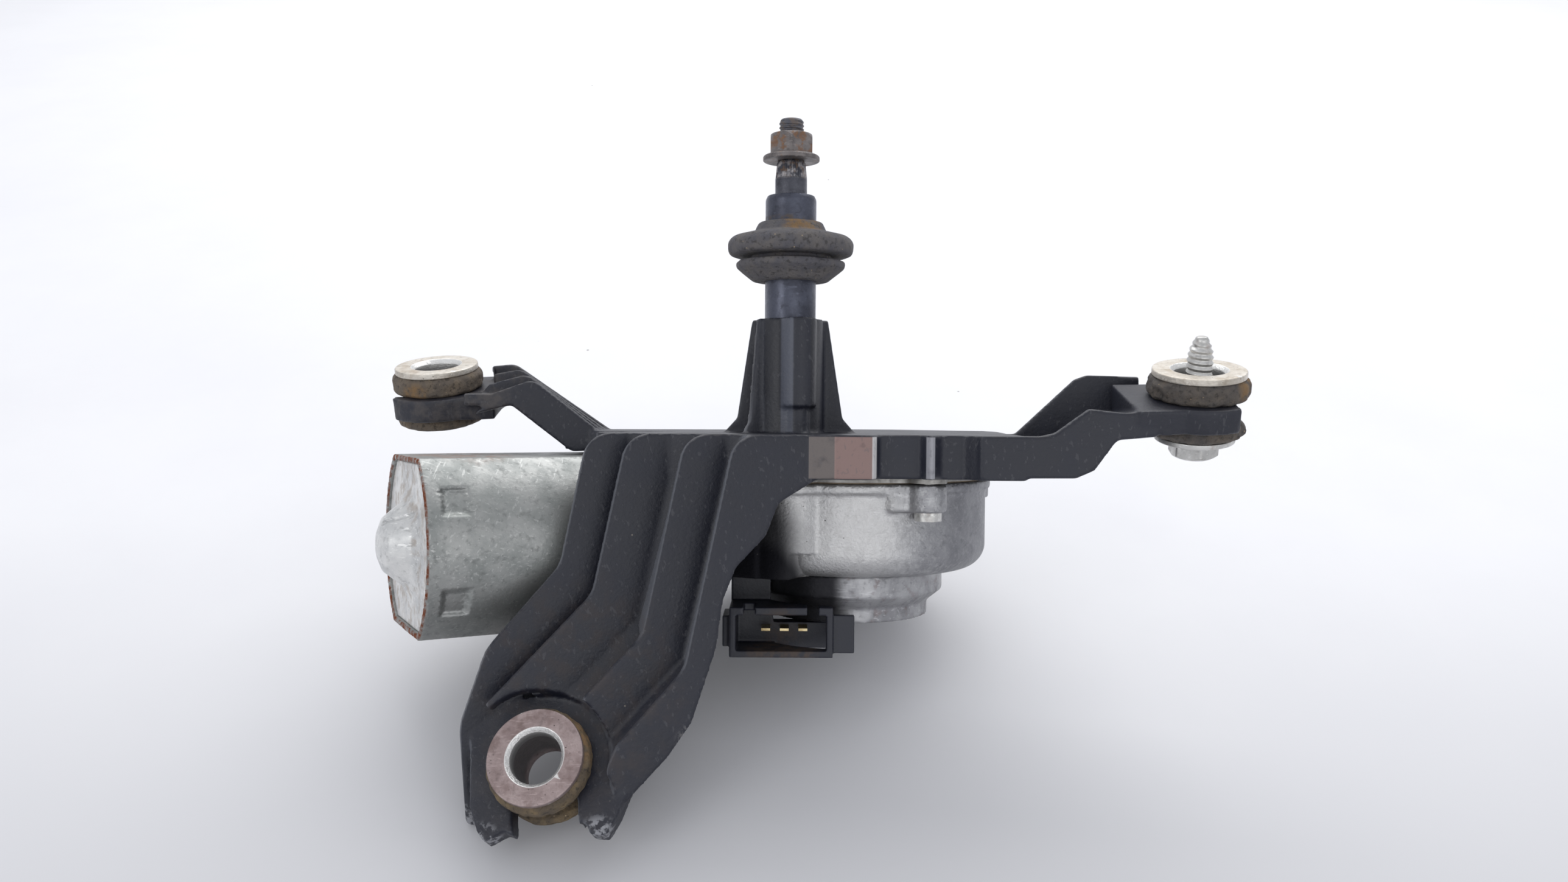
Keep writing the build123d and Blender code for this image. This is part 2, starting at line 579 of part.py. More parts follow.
PIN_PITCH = 5.9
PIN_Z = -62.4
PIN_SPOTS = [-7.1, -7.1 + PIN_PITCH, -7.1 + 2 * PIN_PITCH]


def connector_pins():
    """Three flat tabs of the plug socket."""
    group = []
    for x in PIN_SPOTS:
        group.append(slab(x - 1.4, x + 1.4, -0.5, 9.0, PIN_Z - 0.4, PIN_Z + 0.4))
    return Compound(group)


# ---------- motor ----------
def motor_can():
    """Rolled steel can with two flats, open at both ends."""
    body = along(can_profile(CAN_R, CAN_FLAT), 0, CAN_L)
    body -= along(can_profile(CAN_R - CAN_T, CAN_FLAT - CAN_T), -1, CAN_L + 1)
    return body


def end_cap():
    """Pressed cap in the can's free end, with the domed seat of the rear bearing."""
    dome = [(0, -8.5), (4.5, -8.2), (8.5, -6.6), (11.0, -3.6), (13.4, -0.4), (17.5, 1.2), (17.5, 3.0), (14.4, 3.0),
            (9.0, 0.4), (9.0, 0.0), (9.0, -4.0), (0, -4.0)]
    cap = along(can_profile(CAN_R - CAN_T, CAN_FLAT - CAN_T) - Circle(17.0), 1.2, 3.0)
    return cap + motor(spun(dome))


def magnets():
    """Two curved magnets, glued into the can's round sides."""
    section = Circle(31.3) - Circle(25.0)
    section &= Pos(0, 0) * Rectangle(80, 2 * 22.0)
    body = along(section, 16, 66)
    return body


def bearing(outer, inner, t0, t1):
    """Sintered bearing of the armature shaft."""
    return along(Circle(outer) - Circle(inner), t0, t1)


def armature_shaft():
    """Armature shaft with the worm rolled on it."""
    profile = [(0, 1.0), (3.6, 1.0), (4.0, 1.6), (4.0, 127.0)]
    t = 127.0
    pitch = math.pi * MODULE
    for index in range(10):
        base = t + index * pitch
        profile += [(4.4, base), (4.4, base + 0.9), (5.85, base + 1.4), (5.85, base + 2.4), (4.4, base + 2.9)]
    profile += [(4.0, t + 10 * pitch + 0.6), (4.0, WORM_T + 25.0), (3.2, WORM_T + 26.0), (0, WORM_T + 26.0)]
    return motor(spun(profile))


def thrust_ball():
    """Steel ball that takes the end thrust of the armature shaft."""
    return motor(Pos(0, 0, WORM_T + 27.5) * Sphere(1.4))


def armature_core():
    """Laminated core with twelve slots."""
    section = Circle(23.6) - Circle(4.02)
    for index in range(12):
        slot = Rot(0, 0, 30 * index) * (Pos(20.4, 0) * Rectangle(8.0, 1.6) + Pos(14.0, 0) * Circle(2.9))
        section -= slot
    return along(section, 22, 60)


def windings():
    """Copper windings at both ends of the core, and through its slots."""
    body = along(Circle(20.5) - Circle(8.0), 14.5, 21.9) + along(Circle(20.5) - Circle(8.0), 60.1, 67.0)
    for index in range(12):
        wire = Rot(0, 0, 30 * index) * Pos(14.0, 0) * Circle(2.5)
        body += along(wire, 21, 61)
    return body


def commutator():
    """Commutator with twelve copper bars."""
    section = Circle(10.0) - Circle(4.02)
    for index in range(12):
        section -= Rot(0, 0, 30 * index + 15) * Pos(9.6, 0) * Rectangle(1.6, 0.5)
    return along(section, 69.0, 81.0)


def brush_holder():
    """Moulded brush plate in front of the can's end."""
    section = can_profile(CAN_R - CAN_T - 0.4, CAN_FLAT - CAN_T - 0.4) - Circle(11.5)
    plate_body = along(section, 84.0, 87.6)
    for side in (-1, 1):
        guide = motor(slab(side * 12.0, side * 27.0, -4.4, 4.4, 70.0, 85.0))
        guide -= motor(slab(side * 11.0, side * 25.5, -3.0, 3.0, 71.4, 79.0))
        plate_body += guide
    return plate_body


def brushes():
    """Two carbon brushes against the commutator."""
    group = []
    for side in (-1, 1):
        block = slab(side * 9.0, side * 17.5, -2.9, 2.9, 71.6, 78.8) - cyl(10.15, 60, 90)
        group.append(motor(block))
    return Compound(group)


def brush_springs():
    """Coil springs behind the brushes."""
    group = []
    for side in (-1, 1):
        for index in range(5):
            turn = Pos(side * (18.4 + 1.5 * index), 0, 75.2) * Rot(0, 90, 0) * Torus(2.2, 0.55)
            group.append(motor(turn))
    return Compound(group)


# ---------- gear train ----------
def toothed(radius, teeth, root, tip, first=0, count=None):
    """Outline of a gear with straight-sided teeth; only some of its teeth if a count is given."""
    step = 2 * math.pi / teeth
    points = []
    wanted = range(teeth) if count is None else range(first, first + count)
    for index in range(teeth):
        middle = index * step
        half_root = 0.29 * step
        half_tip = 0.13 * step
        if index in wanted:
            spots = [(root, middle - half_root), (tip, middle - half_tip), (tip, middle + half_tip),
                     (root, middle + half_root)]
        else:
            spots = [(root, middle - half_root), (root, middle + half_root)]
        points += [(r * math.cos(a), r * math.sin(a)) for r, a in spots]
    return make_face(Polyline(*points, close=True))


def worm_wheel():
    """Plastic worm wheel with its crank disc."""
    rim = toothed(WHEEL_R, WHEEL_TEETH, WHEEL_R - 1.4, WHEEL_R)
    body = extrude(Plane.XY.offset(WHEEL_Z0) * rim, WHEEL_Z1 - WHEEL_Z0)
    recess = Circle(26.0) - Circle(14.0)
    body -= extrude(Plane.XY.offset(WHEEL_Z0 - 1) * recess, 3.6)
    body -= extrude(Plane.XY.offset(WHEEL_Z1 - 2.6) * recess, 4)
    body -= cyl(4.03, WHEEL_Z0 - 1, WHEEL_Z1 + 1)
    return Pos(WHEEL_X, WHEEL_Y, 0) * body


def wheel_axle():
    """Steel axle of the worm wheel, pressed into the housing."""
    return cyl(4.0, HOUSING_BOTTOM - 1.5, WHEEL_Z1 - 0.2, WHEEL_X, WHEEL_Y)


def wheel_washer():
    """Thrust washer under the worm wheel."""
    return ring(8.5, 4.1, HOUSING_FLOOR, WHEEL_Z0 - 0.05, WHEEL_X, WHEEL_Y)


LINK_L = 2 * PINION_R
WHEEL_DISTANCE = math.hypot(WHEEL_X, WHEEL_Y)
WHEEL_BEARING = math.degrees(math.atan2(WHEEL_Y, WHEEL_X))


def bearing_at(reach):
    """Angle at the spindle between the wheel and the link when the rod's pivot is that far from the wheel."""
    cosine = (WHEEL_DISTANCE ** 2 + LINK_L ** 2 - reach ** 2) / (2 * WHEEL_DISTANCE * LINK_L)
    return math.degrees(math.acos(cosine))


LINK_START = WHEEL_BEARING + bearing_at(ROD_L + CRANK_R)
LINK_END = WHEEL_BEARING + bearing_at(ROD_L - CRANK_R)


def rod_pivot(angle):
    """Place of the rod's pivot when the link points that way."""
    return (LINK_L * math.cos(math.radians(angle)), LINK_L * math.sin(math.radians(angle)))


def rod_angle(angle):
    """Direction of the rod at a dead centre, from its pivot to the wheel's centre."""
    x, y = rod_pivot(angle)
    return math.degrees(math.atan2(WHEEL_Y - y, WHEEL_X - x))


PIVOT = rod_pivot(LINK_START)
ROD_START = rod_angle(LINK_START)
ROD_END = rod_angle(LINK_END)
LINK_SWING = LINK_END - LINK_START
ROD_SWING = ROD_END - ROD_START
SPINDLE_SWEEP = 2 * LINK_SWING - ROD_SWING
WHEEL_SWING = -180.0 + ROD_SWING


def output_pinion():
    """Toothed pinion on the foot of the spindle."""
    gear = toothed(PINION_R, PINION_TEETH, PINION_R - 1.15, PINION_R + 0.9)
    body = extrude(Plane.XY.offset(-28.0) * gear, 5.5)
    return Rot(0, 0, LINK_START) * body - cyl(SHAFT_R, -30, 0)


def sector_rod():
    """Rod with a toothed sector at one end and the crank's eye at the other."""
    half_step = 180.0 / PINION_TEETH
    gear = toothed(PINION_R, PINION_TEETH, PINION_R - 1.15, PINION_R + 0.9)
    gear = Rot(0, 0, LINK_START + 180 + half_step) * gear
    keep = Rot(0, 0, LINK_START + 180 - 26.0) * Pos(6, 0) * Rectangle(12, 30)
    section = (gear & keep) + Circle(6.4)
    far = (ROD_L * math.cos(math.radians(ROD_START)), ROD_L * math.sin(math.radians(ROD_START)))
    section += Pos(*far) * Circle(5.6)
    arm = Rot(0, 0, ROD_START) * Pos(ROD_L / 2, 0) * Rectangle(ROD_L, 8.0)
    section += arm
    section -= Circle(3.02)
    section -= Pos(*far) * Circle(3.02)
    return Pos(*PIVOT, 0) * extrude(Plane.XY.offset(-27.6) * section, 4.4)


def crank_pin():
    """Pin in the rod's eye that stands over the wheel's crank disc."""
    x = PIVOT[0] + ROD_L * math.cos(math.radians(ROD_START))
    y = PIVOT[1] + ROD_L * math.sin(math.radians(ROD_START))
    return cyl(3.0, WHEEL_Z1 + 0.3, -22.4, x, y) + cyl(4.4, -23.1, -21.8, x, y)


def rod_pin():
    """Pin that joins the rod's sector end to the swing link."""
    return cyl(3.0, -27.6, -19.4, *PIVOT) + cyl(4.2, -19.9, -18.6, *PIVOT)


def swing_link():
    """Steel link that keeps the sector in mesh with the pinion."""
    section = Circle(7.4) + Pos(*PIVOT) * Circle(6.0)
    section += Rot(0, 0, LINK_START) * Pos(LINK_L / 2, 0) * Rectangle(LINK_L, 10)
    section -= Circle(SHAFT_R + 0.03)
    section -= Pos(*PIVOT) * Circle(3.03)
    return extrude(Plane.XY.offset(-22.3) * section, 2.1)


def spindle_circlip():
    """Retaining ring on the spindle above the link."""
    return ring(7.4, SHAFT_R + 0.02, -20.0, -18.9)


# ---------- write every piece ----------
def main():
    """Build and write all the pieces."""
    export(bracket(), "bracket")
    for name, place in (("left", LEFT_FOOT), ("right", RIGHT_FOOT), ("front", FRONT_FOOT)):
        export(on_axis(place, rubber_bush()), f"{name}_bush")
        export(on_axis(place, sleeve()), f"{name}_sleeve")
    export(on_axis(RIGHT_FOOT, mount_screw()), "mount_screw")
    export(on_axis(RIGHT_FOOT, mount_washer()), "mount_washer")
    export(spindle_tube(), "spindle_tube")
    export(plain_bush(COVER_TOP, COVER_TOP + 16), "lower_spindle_bush")
    export(plain_bush(54.0, 71.0), "upper_spindle_bush")
    export(seal_ring(), "seal_ring")
    export(spindle(), "spindle")
    export(spindle_nut(), "spindle_nut")
    export(grommet(), "grommet")
    export(gear_housing(), "gear_housing")
    export(gear_cover(), "gear_cover")
    export(gasket(), "gasket")
    export(housing_screws(), "housing_screws")
    export(bottom_cover(), "bottom_cover")
    export(contact_plate(), "contact_plate")
    export(connector_shell(), "connector_shell")
    export(connector_pins(), "connector_pins")
    export(motor_can(), "motor_can")
    export(end_cap(), "end_cap")
    export(magnets(), "magnets")
    export(bearing(8.9, 4.03, -3.8, 3.0), "rear_bearing")
    export(bearing(7.98, 4.03, CAN_L + 0.2, CAN_L + 8.9), "front_bearing")
    export(armature_shaft(), "armature_shaft")
    export(thrust_ball(), "thrust_ball")
    export(armature_core(), "armature_core")
    export(windings(), "windings")
    export(commutator(), "commutator")
    export(brush_holder(), "brush_holder")
    export(brushes(), "brushes")
    export(brush_springs(), "brush_springs")
    export(worm_wheel(), "worm_wheel")
    export(wheel_axle(), "wheel_axle")
    export(wheel_washer(), "wheel_washer")
    export(output_pinion(), "output_pinion")
    export(sector_rod(), "sector_rod")
    export(crank_pin(), "crank_pin")
    export(rod_pin(), "rod_pin")
    export(swing_link(), "swing_link")
    export(spindle_circlip(), "spindle_circlip")
    print("sweep", round(SPINDLE_SWEEP, 3), "link", round(LINK_SWING, 3), "rod", round(ROD_SWING, 3),
          "wheel", round(WHEEL_SWING, 3))


main()
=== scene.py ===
"""Looks of the rear wiper motor: camera, floor, light, detailed pieces and their materials."""
import json
import math

import bmesh
import bpy
from mathutils import Matrix, Vector, noise

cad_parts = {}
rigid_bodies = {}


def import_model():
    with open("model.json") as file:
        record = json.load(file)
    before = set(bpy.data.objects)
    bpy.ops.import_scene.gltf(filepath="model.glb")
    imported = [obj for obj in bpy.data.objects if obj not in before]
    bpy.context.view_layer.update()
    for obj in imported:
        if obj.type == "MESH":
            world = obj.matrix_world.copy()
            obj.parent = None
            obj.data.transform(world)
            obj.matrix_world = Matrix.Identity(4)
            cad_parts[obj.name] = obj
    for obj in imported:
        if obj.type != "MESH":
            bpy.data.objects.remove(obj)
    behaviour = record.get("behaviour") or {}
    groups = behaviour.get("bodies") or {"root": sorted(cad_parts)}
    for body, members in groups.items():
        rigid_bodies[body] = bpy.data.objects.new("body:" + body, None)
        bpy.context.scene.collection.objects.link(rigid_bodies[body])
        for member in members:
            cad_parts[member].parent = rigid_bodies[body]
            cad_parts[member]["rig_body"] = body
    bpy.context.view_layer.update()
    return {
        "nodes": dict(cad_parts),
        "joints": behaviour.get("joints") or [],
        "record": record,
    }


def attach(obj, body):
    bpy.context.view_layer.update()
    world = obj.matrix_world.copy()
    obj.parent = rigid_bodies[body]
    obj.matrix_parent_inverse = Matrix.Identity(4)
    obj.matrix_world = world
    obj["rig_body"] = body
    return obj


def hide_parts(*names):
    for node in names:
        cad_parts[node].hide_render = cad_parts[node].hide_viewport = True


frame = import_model()

MM = 0.001
NODES = frame["nodes"]
SLOT_OF = {part["node"]: part["material_slot"] for part in frame["record"]["subparts"]}

# ---------- camera ----------
CAMERA_AT = (-1.7, -375.0, 7.5)      # mm, in the spindle's frame
CAMERA_DOWN = 1.54
CAMERA_ROLL = 0.4
CAMERA_LENS = 27.25
SENSOR = 36.0

# ---------- sizes shared with the CAD, in mm ----------
TUBE_R, TUBE_BORE_R, TUBE_TOP, TUBE_FOOT = 8.0, 7.0, 74.2, -13.3
TUBE_FLANGE_R, TUBE_FLANGE_TOP = 9.5, -10.3
SHAFT_R, SHAFT_FOOT = 5.0, -28.0
KNURL_FOOT, KNURL_TOP, KNURL_DEPTH, KNURL_TEETH = 79.6, 84.8, 0.28, 36
THREAD_R, THREAD_FOOT, THREAD_TOP, THREAD_PITCH = 3.96, 85.1, 98.3, 1.25
NUT_Z, NUT_H, NUT_FLATS, NUT_FLANGE_R = 85.2, 8.4, 13.0, 8.9
SLEEVE_BORE, SLEEVE_R, SLEEVE_FLANGE, SLEEVE_L = 7.4, 8.8, 13.9, 20.6
SLEEVE_FLANGE_T = 2.0
RUBBER_R, RUBBER_GROOVE = 15.2, 11.4
FOOT_FACE, FOOT_T = 8.4, 7.6
FOOT_BACK = FOOT_FACE + FOOT_T
SCREW_R, SCREW_FLATS, SCREW_HEAD_R, SCREW_HEAD_FOOT = 4.0, 13.0, 7.6, -27.8
WASHER_R, WASHER_BORE, WASHER_FOOT = 12.0, 4.3, -22.2
LEFT_FOOT = ((-121.8, 35.0, 22.0), (-0.035, -0.276, 0.961))
RIGHT_FOOT = ((124.0, -15.0, 20.6), (-0.035, -0.276, 0.961))
FRONT_FOOT = ((-71.4, -43.5, -90.8), (-0.10, -0.84, 0.53))
MOTOR_ANGLE = 28.5
MOTOR_END = (-121.0, -2.0, -35.7)
WHEEL_CENTRE = (21.92, 32.36)
HOUSING_R, HOUSING_SKIN, FILLET, FILLET_TOP = 45.0, 2.6, 8.0, -37.0
SPINDLE = next(joint for joint in frame["joints"] if joint["name"] == "spindle_turn")


# ---------- frames ----------
def spindle_frame():
    """X to the right, Y to the rear, Z along the spindle; origin at the top of the bracket's plate."""
    up = Vector(SPINDLE["axis"]).normalized()
    side = Vector((1, 0, 0))
    ahead = up.cross(side)
    turn = Matrix((side, ahead, up)).transposed().to_4x4()
    return Matrix.Translation(Vector(SPINDLE["pos_m"])) @ turn


UNIT = spindle_frame()


def foot_frame(place):
    """Frame of a bush: origin at the sleeve's top face, Z out of it."""
    top, direction = place
    up = Vector(direction).normalized()
    side = Vector((0, 1, 0)).cross(up).normalized()
    ahead = up.cross(side)
    turn = Matrix((side, ahead, up)).transposed().to_4x4()
    return UNIT @ Matrix.Translation(Vector(top) * MM) @ turn


def motor_frame():
    """Frame of the motor: origin at its free end, Z along its shaft, X level, Y up."""
    angle = math.radians(MOTOR_ANGLE)
    along = Vector((math.cos(angle), math.sin(angle), 0))
    side = Vector((along.y, -along.x, 0))
    turn = Matrix((side, along.cross(side), along)).transposed().to_4x4()
    return UNIT @ Matrix.Translation(Vector(MOTOR_END) * MM) @ turn


MOTOR = motor_frame()


def row_point(x, y, z, base=UNIT):
    """Point of the spindle's frame in mm, in the row's frame in metres."""
    return base @ (Vector((x, y, z)) * MM)


# ---------- node materials ----------
def srgb(red, green, blue):
    """Linear colour of an 8-bit screen colour."""
    return tuple((v / 255.0) ** 2.2 for v in (red, green, blue))


class Look:
    """Node material painted on in layers, from its base colour up."""

    def __init__(self, name, colour, rough, metal=0.0):
        """Starts a material with its base colour, roughness and share of metal."""
        self.material = bpy.data.materials.new(name)
        self.material.use_nodes = True
        self.tree = self.material.node_tree
        self.shader = self.tree.nodes["Principled BSDF"]
        self.shader.inputs["Metallic"].default_value = metal
        self.place = self.node("ShaderNodeTexCoord").outputs["Object"]
        self.shape = self.node("ShaderNodeNewGeometry")
        self.colour = self.constant(colour)
        self.rough = self.number(rough)

    def node(self, kind):
        """New node of that kind."""
        return self.tree.nodes.new(kind)

    def link(self, source, target):
        """Joins an output to an input."""
        self.tree.links.new(source, target)

    def constant(self, colour):
        """Output of one fixed colour."""
        node = self.node("ShaderNodeRGB")
        node.outputs[0].default_value = (*colour, 1)
        return node.outputs[0]

    def number(self, value):
        """Output of one fixed number."""
        node = self.node("ShaderNodeValue")
        node.outputs[0].default_value = value
        return node.outputs[0]

    def span(self, value, low, high):
        """0 at low and 1 at high, smoothly between."""
        node = self.node("ShaderNodeMapRange")
        node.interpolation_type = "SMOOTHSTEP"
        node.inputs["From Min"].default_value = low
        node.inputs["From Max"].default_value = high
        self.link(value, node.inputs["Value"])
        return node.outputs["Result"]

    def times(self, first, second):
        """Product of an output and either another output or a plain number."""
        node = self.node("ShaderNodeMath")
        node.operation = "MULTIPLY"
        self.link(first, node.inputs[0])
        if isinstance(second, (int, float)):
            node.inputs[1].default_value = second
        else:
            self.link(second, node.inputs[1])
        return node.outputs[0]

    def cloud(self, size, low, high, detail=5.0, stretch=(1, 1, 1)):
        """Noise patches of about that size in mm."""
        mapping = self.node("ShaderNodeMapping")
        mapping.inputs["Scale"].default_value = stretch
        self.link(self.place, mapping.inputs["Vector"])
        node = self.node("ShaderNodeTexNoise")
        node.inputs["Scale"].default_value = 1000.0 / size
        node.inputs["Detail"].default_value = detail
        node.inputs["Roughness"].default_value = 0.6
        self.link(mapping.outputs["Vector"], node.inputs["Vector"])
        return self.span(node.outputs["Fac"], low, high)

    def specks(self, spacing, reach):
        """Small separate spots, that far apart in mm; reach is their share of the spacing."""
        node = self.node("ShaderNodeTexVoronoi")
        node.inputs["Scale"].default_value = 1000.0 / spacing
        self.link(self.place, node.inputs["Vector"])
        return self.span(node.outputs["Distance"], reach, reach * 0.5)

    def facing(self, direction, low, high):
        """Faces that look that way."""
        node = self.node("ShaderNodeVectorMath")
        node.operation = "DOT_PRODUCT"
        node.inputs[1].default_value = Vector(direction).normalized()
        self.link(self.shape.outputs["Normal"], node.inputs[0])
        return self.span(node.outputs["Value"], low, high)

    def edges(self, low, high):
        """Raised edges of a dense mesh."""
        return self.span(self.shape.outputs["Pointiness"], low, high)

    def near(self, point, radius, soft):
        """Ball round a point of the row; radius and soft rim in mm."""
        node = self.node("ShaderNodeVectorMath")
        node.operation = "DISTANCE"
        node.inputs[1].default_value = point
        self.link(self.place, node.inputs[0])
        return self.span(node.outputs["Value"], (radius + soft) * MM, radius * MM)

    def band(self, base, low, high, soft, along=2):
        """Stretch between two places along one axis of a frame (its Z by default), in mm."""
        axis = base.to_3x3().col[along]
        node = self.node("ShaderNodeVectorMath")
        node.operation = "DOT_PRODUCT"
        node.inputs[1].default_value = axis
        self.link(self.place, node.inputs[0])
        start = base.translation.dot(axis)
        up = self.span(node.outputs["Value"], start + (low - soft) * MM, start + low * MM)
        down = self.span(node.outputs["Value"], start + (high + soft) * MM, start + high * MM)
        return self.times(up, down)

    def layer(self, mask, colour, rough=None):
        """Lays a colour, and a roughness, over the mask."""
        mix = self.node("ShaderNodeMix")
        mix.data_type = "RGBA"
        self.link(mask, mix.inputs["Factor"])
        self.link(self.colour, mix.inputs["A"])
        mix.inputs["B"].default_value = (*colour, 1)
        self.colour = mix.outputs["Result"]
        if rough is not None:
            blend = self.node("ShaderNodeMix")
            self.link(mask, blend.inputs["Factor"])
            self.link(self.rough, blend.inputs["A"])
            blend.inputs["B"].default_value = rough
            self.rough = blend.outputs["Result"]
        return self

    def done(self, grain=1.0, depth=0.05, strength=0.6):
        """Joins the layers to the shader, with a bump of that grain and depth in mm."""
        bump = self.node("ShaderNodeBump")
        bump.inputs["Strength"].default_value = strength
        bump.inputs["Distance"].default_value = depth * MM
        self.link(self.cloud(grain, 0.2, 0.8), bump.inputs["Height"])
        self.link(bump.outputs["Normal"], self.shader.inputs["Normal"])
        self.link(self.colour, self.shader.inputs["Base Color"])
        self.link(self.rough, self.shader.inputs["Roughness"])
        return self.material


# ---------- looks of each material slot ----------
BLACK = srgb(31, 33, 43)
# pale grey for painted highlights on the ribs' edges
RIB_EDGE_HIGHLIGHT = srgb(104, 106, 112)
DUST = srgb(96, 90, 86)
OCHRE = srgb(124, 100, 72)
RUST = srgb(132, 78, 54)
# near black: black paint on the cover, and painted shade on the tower and on the housing beside the leg
BLACK_PAINT_AND_SHADE = srgb(30, 30, 35)

# stretches along X, each with its colour and how strongly it shows; the tower's stripes are painted
# reflections, the rim's are grey and pinkish-brown tones and painted highlights
# painted reflections down the tower's front: light stripes and dark ones
TOWER_PAINTED_REFLECTIONS = [((-7.4, -3.2), BLACK_PAINT_AND_SHADE, 0.6), ((-2.4, 0.6), srgb(96, 100, 112), 0.55), ((6.6, 9.4), BLACK_PAINT_AND_SHADE, 0.6),
               ((10.0, 15.0), srgb(70, 74, 86), 0.5)]
# grey and pinkish-brown stretches of the rim, then painted highlights on its two bright ridges
RIM_TONES_AND_HIGHLIGHTS = [((5.8, 13.4), srgb(118, 110, 106), 0.75), ((13.4, 24.4), srgb(148, 122, 116), 0.8),
             ((24.5, 25.7), srgb(214, 212, 212), 0.8), ((40.8, 43.0), srgb(178, 178, 184), 0.7)]

# the way the front edges of the leg's ribs look, in the spindle's frame; faces turned this way get a
# painted highlight
LEFT_OF_LEG = (-0.94, -0.34, 0.0)

# middles of single marks, of painted highlights and of painted shade in the spindle's frame, in mm
LEG_CENTRE = (-44, -34, -48)
LEG_POCKETS = (-62, -34, -74)
LEG_SCUFF = (-24, -42, -88)
LEG_TIP = (-94, -28, -114)
LEFT_SHOULDER = (-112, 32, 14)
# painted highlight on the housing wall's left
WALL_HIGHLIGHT = (12, -12, -30)
# painted shade, and a duller finish, on the housing wall's right
DULL_SHADED_WALL = (74, 0, -28)
# painted shade on the housing beside the leg and on its neck
SHADE_ON_WALL_BY_LEG = (-20, -8, -34)
SHADE_ON_NECK_BY_LEG = (-10, -10, -48)
SOCKET_INSIDE = (-2.2, -4, -66)
COLLAR_STAIN = (4, -10, 64.5)

# the same in the front foot's frame
PRONG_TIPS = [(14.5, -22, -10), (-18, -18, -11)]

# and in the motor's frame
# warm painted highlight near the can's top
CAN_WARM_TOP_HIGHLIGHT = (0, 30, 55)
CAN_RUST_SPOT = (22, -20, 34)
CAN_UNDERSIDE = (2, -28, 18)


def in_row(direction):
    """Direction of the spindle's frame, seen in the row's."""
    return UNIT.to_3x3() @ Vector(direction)


def black_plastic(name):
    """Moulded black plastic, a little dusty and scuffed."""
    look = Look(name, BLACK, 0.42)
    look.layer(look.cloud(14, 0.35, 0.75), srgb(38, 40, 50), 0.52)
    look.layer(look.times(look.cloud(3, 0.5, 0.8), 0.35), srgb(50, 50, 56), 0.6)
    return look


def rim_tones_and_highlights(look):
    """Grey and pinkish-brown stretches of the plate's front rim, and painted highlights on its two bright
    ridges.
    """
    height = look.band(UNIT, -12.8, -0.8, 0.4)
    front = look.times(height, look.band(UNIT, -40.0, -18.0, 1.0, along=1))
    for (low, high), colour, share in RIM_TONES_AND_HIGHLIGHTS:
        mark = look.times(front, look.band(UNIT, low, high, 0.3, along=0))
        look.layer(look.times(look.times(mark, look.cloud(5, 0.05, 0.45)), share), colour, 0.55)


def tower_reflection_stripes(look):
    """Painted reflections: lighter and darker stripes down the tower's front."""
    tower = look.times(look.band(UNIT, 1.0, 35.0, 1.0), look.band(UNIT, -40.0, -5.0, 1.0, along=1))
    for (low, high), colour, share in TOWER_PAINTED_REFLECTIONS:
        mark = look.times(tower, look.band(UNIT, low, high, 0.7, along=0))
        look.layer(look.times(mark, share), colour, 0.38)


def torn_ends(look):
    """Bright fracture facets on the front foot's broken prongs."""
    foot = foot_frame(FRONT_FOOT)
    tips = [row_point(*tip, foot) for tip in PRONG_TIPS]
    for tip in [*tips, row_point(*LEG_TIP)]:
        torn = look.times(look.near(tip, 3.0, 3.5), look.cloud(2.0, 0.46, 0.58))
        look.layer(look.times(torn, 0.7), srgb(156, 157, 162), 0.4)


def bracket_look():
    """The bracket: black nylon with painted highlights on the ribs' edges, dusty on its top faces and in
    the pockets.
    """
    look = black_plastic("bracket_nylon")
    # painted highlights: the leg ribs' edges that face left, and the raised edges everywhere
    leg = look.near(row_point(*LEG_CENTRE), 62, 16)
    edge = look.times(look.facing(in_row(LEFT_OF_LEG), 0.6, 0.95), leg)
    look.layer(look.times(edge, 0.75), RIB_EDGE_HIGHLIGHT, 0.42)
    look.layer(look.times(look.edges(0.53, 0.62), 0.45), RIB_EDGE_HIGHLIGHT, 0.42)
    dusty = look.times(look.facing((0, 0, 1), 0.6, 1.0), look.cloud(9, 0.35, 0.8))
    look.layer(look.times(dusty, 0.22), DUST, 0.75)
    pockets = look.near(row_point(*LEG_POCKETS), 22, 18)
    look.layer(look.times(look.times(pockets, look.cloud(6, 0.4, 0.7)), 0.3), srgb(78, 68, 62), 0.8)
    left = look.near(row_point(*LEFT_SHOULDER), 20, 14)
    look.layer(look.times(look.times(left, look.cloud(5, 0.4, 0.7)), 0.45), srgb(96, 90, 86), 0.8)
    # grey and pinkish-brown tones and painted highlights on the plate's front rim
    rim_tones_and_highlights(look)
    # painted reflections down the tower's front
    tower_reflection_stripes(look)
    torn_ends(look)
    scuff = look.near(row_point(*LEG_SCUFF), 5, 5)
    look.layer(look.times(look.times(scuff, look.cloud(1.6, 0.5, 0.6)), 0.8), srgb(170, 168, 165), 0.6)
    look.layer(look.times(look.specks(7.0, 0.05), look.cloud(25, 0.5, 0.65)), srgb(120, 114, 108), 0.8)
    look.layer(look.times(look.cloud(1.2, 0.62, 0.68, 2.0, (1, 1, 0.06)), 0.3), srgb(88, 88, 92), 0.6)
    return look.done(1.1, 0.10)


def rubber_look(name, colour, dusty, patch=None):
    """Moulded rubber with ingrained dust."""
    look = Look(name, colour, 0.78)
    look.layer(look.cloud(5, 0.35, 0.7), dusty, 0.9)
    look.layer(look.times(look.cloud(1.4, 0.52, 0.66), 0.6), srgb(34, 31, 29), 0.7)
    look.layer(look.times(look.specks(2.6, 0.10), look.cloud(8, 0.4, 0.6)), srgb(170, 150, 122), 0.9)
    if patch is not None:
        point, radius = patch
        look.layer(look.times(look.near(point, radius, radius), look.cloud(3, 0.35, 0.6)), OCHRE, 0.9)
    return look.done(0.8, 0.25, 0.8)


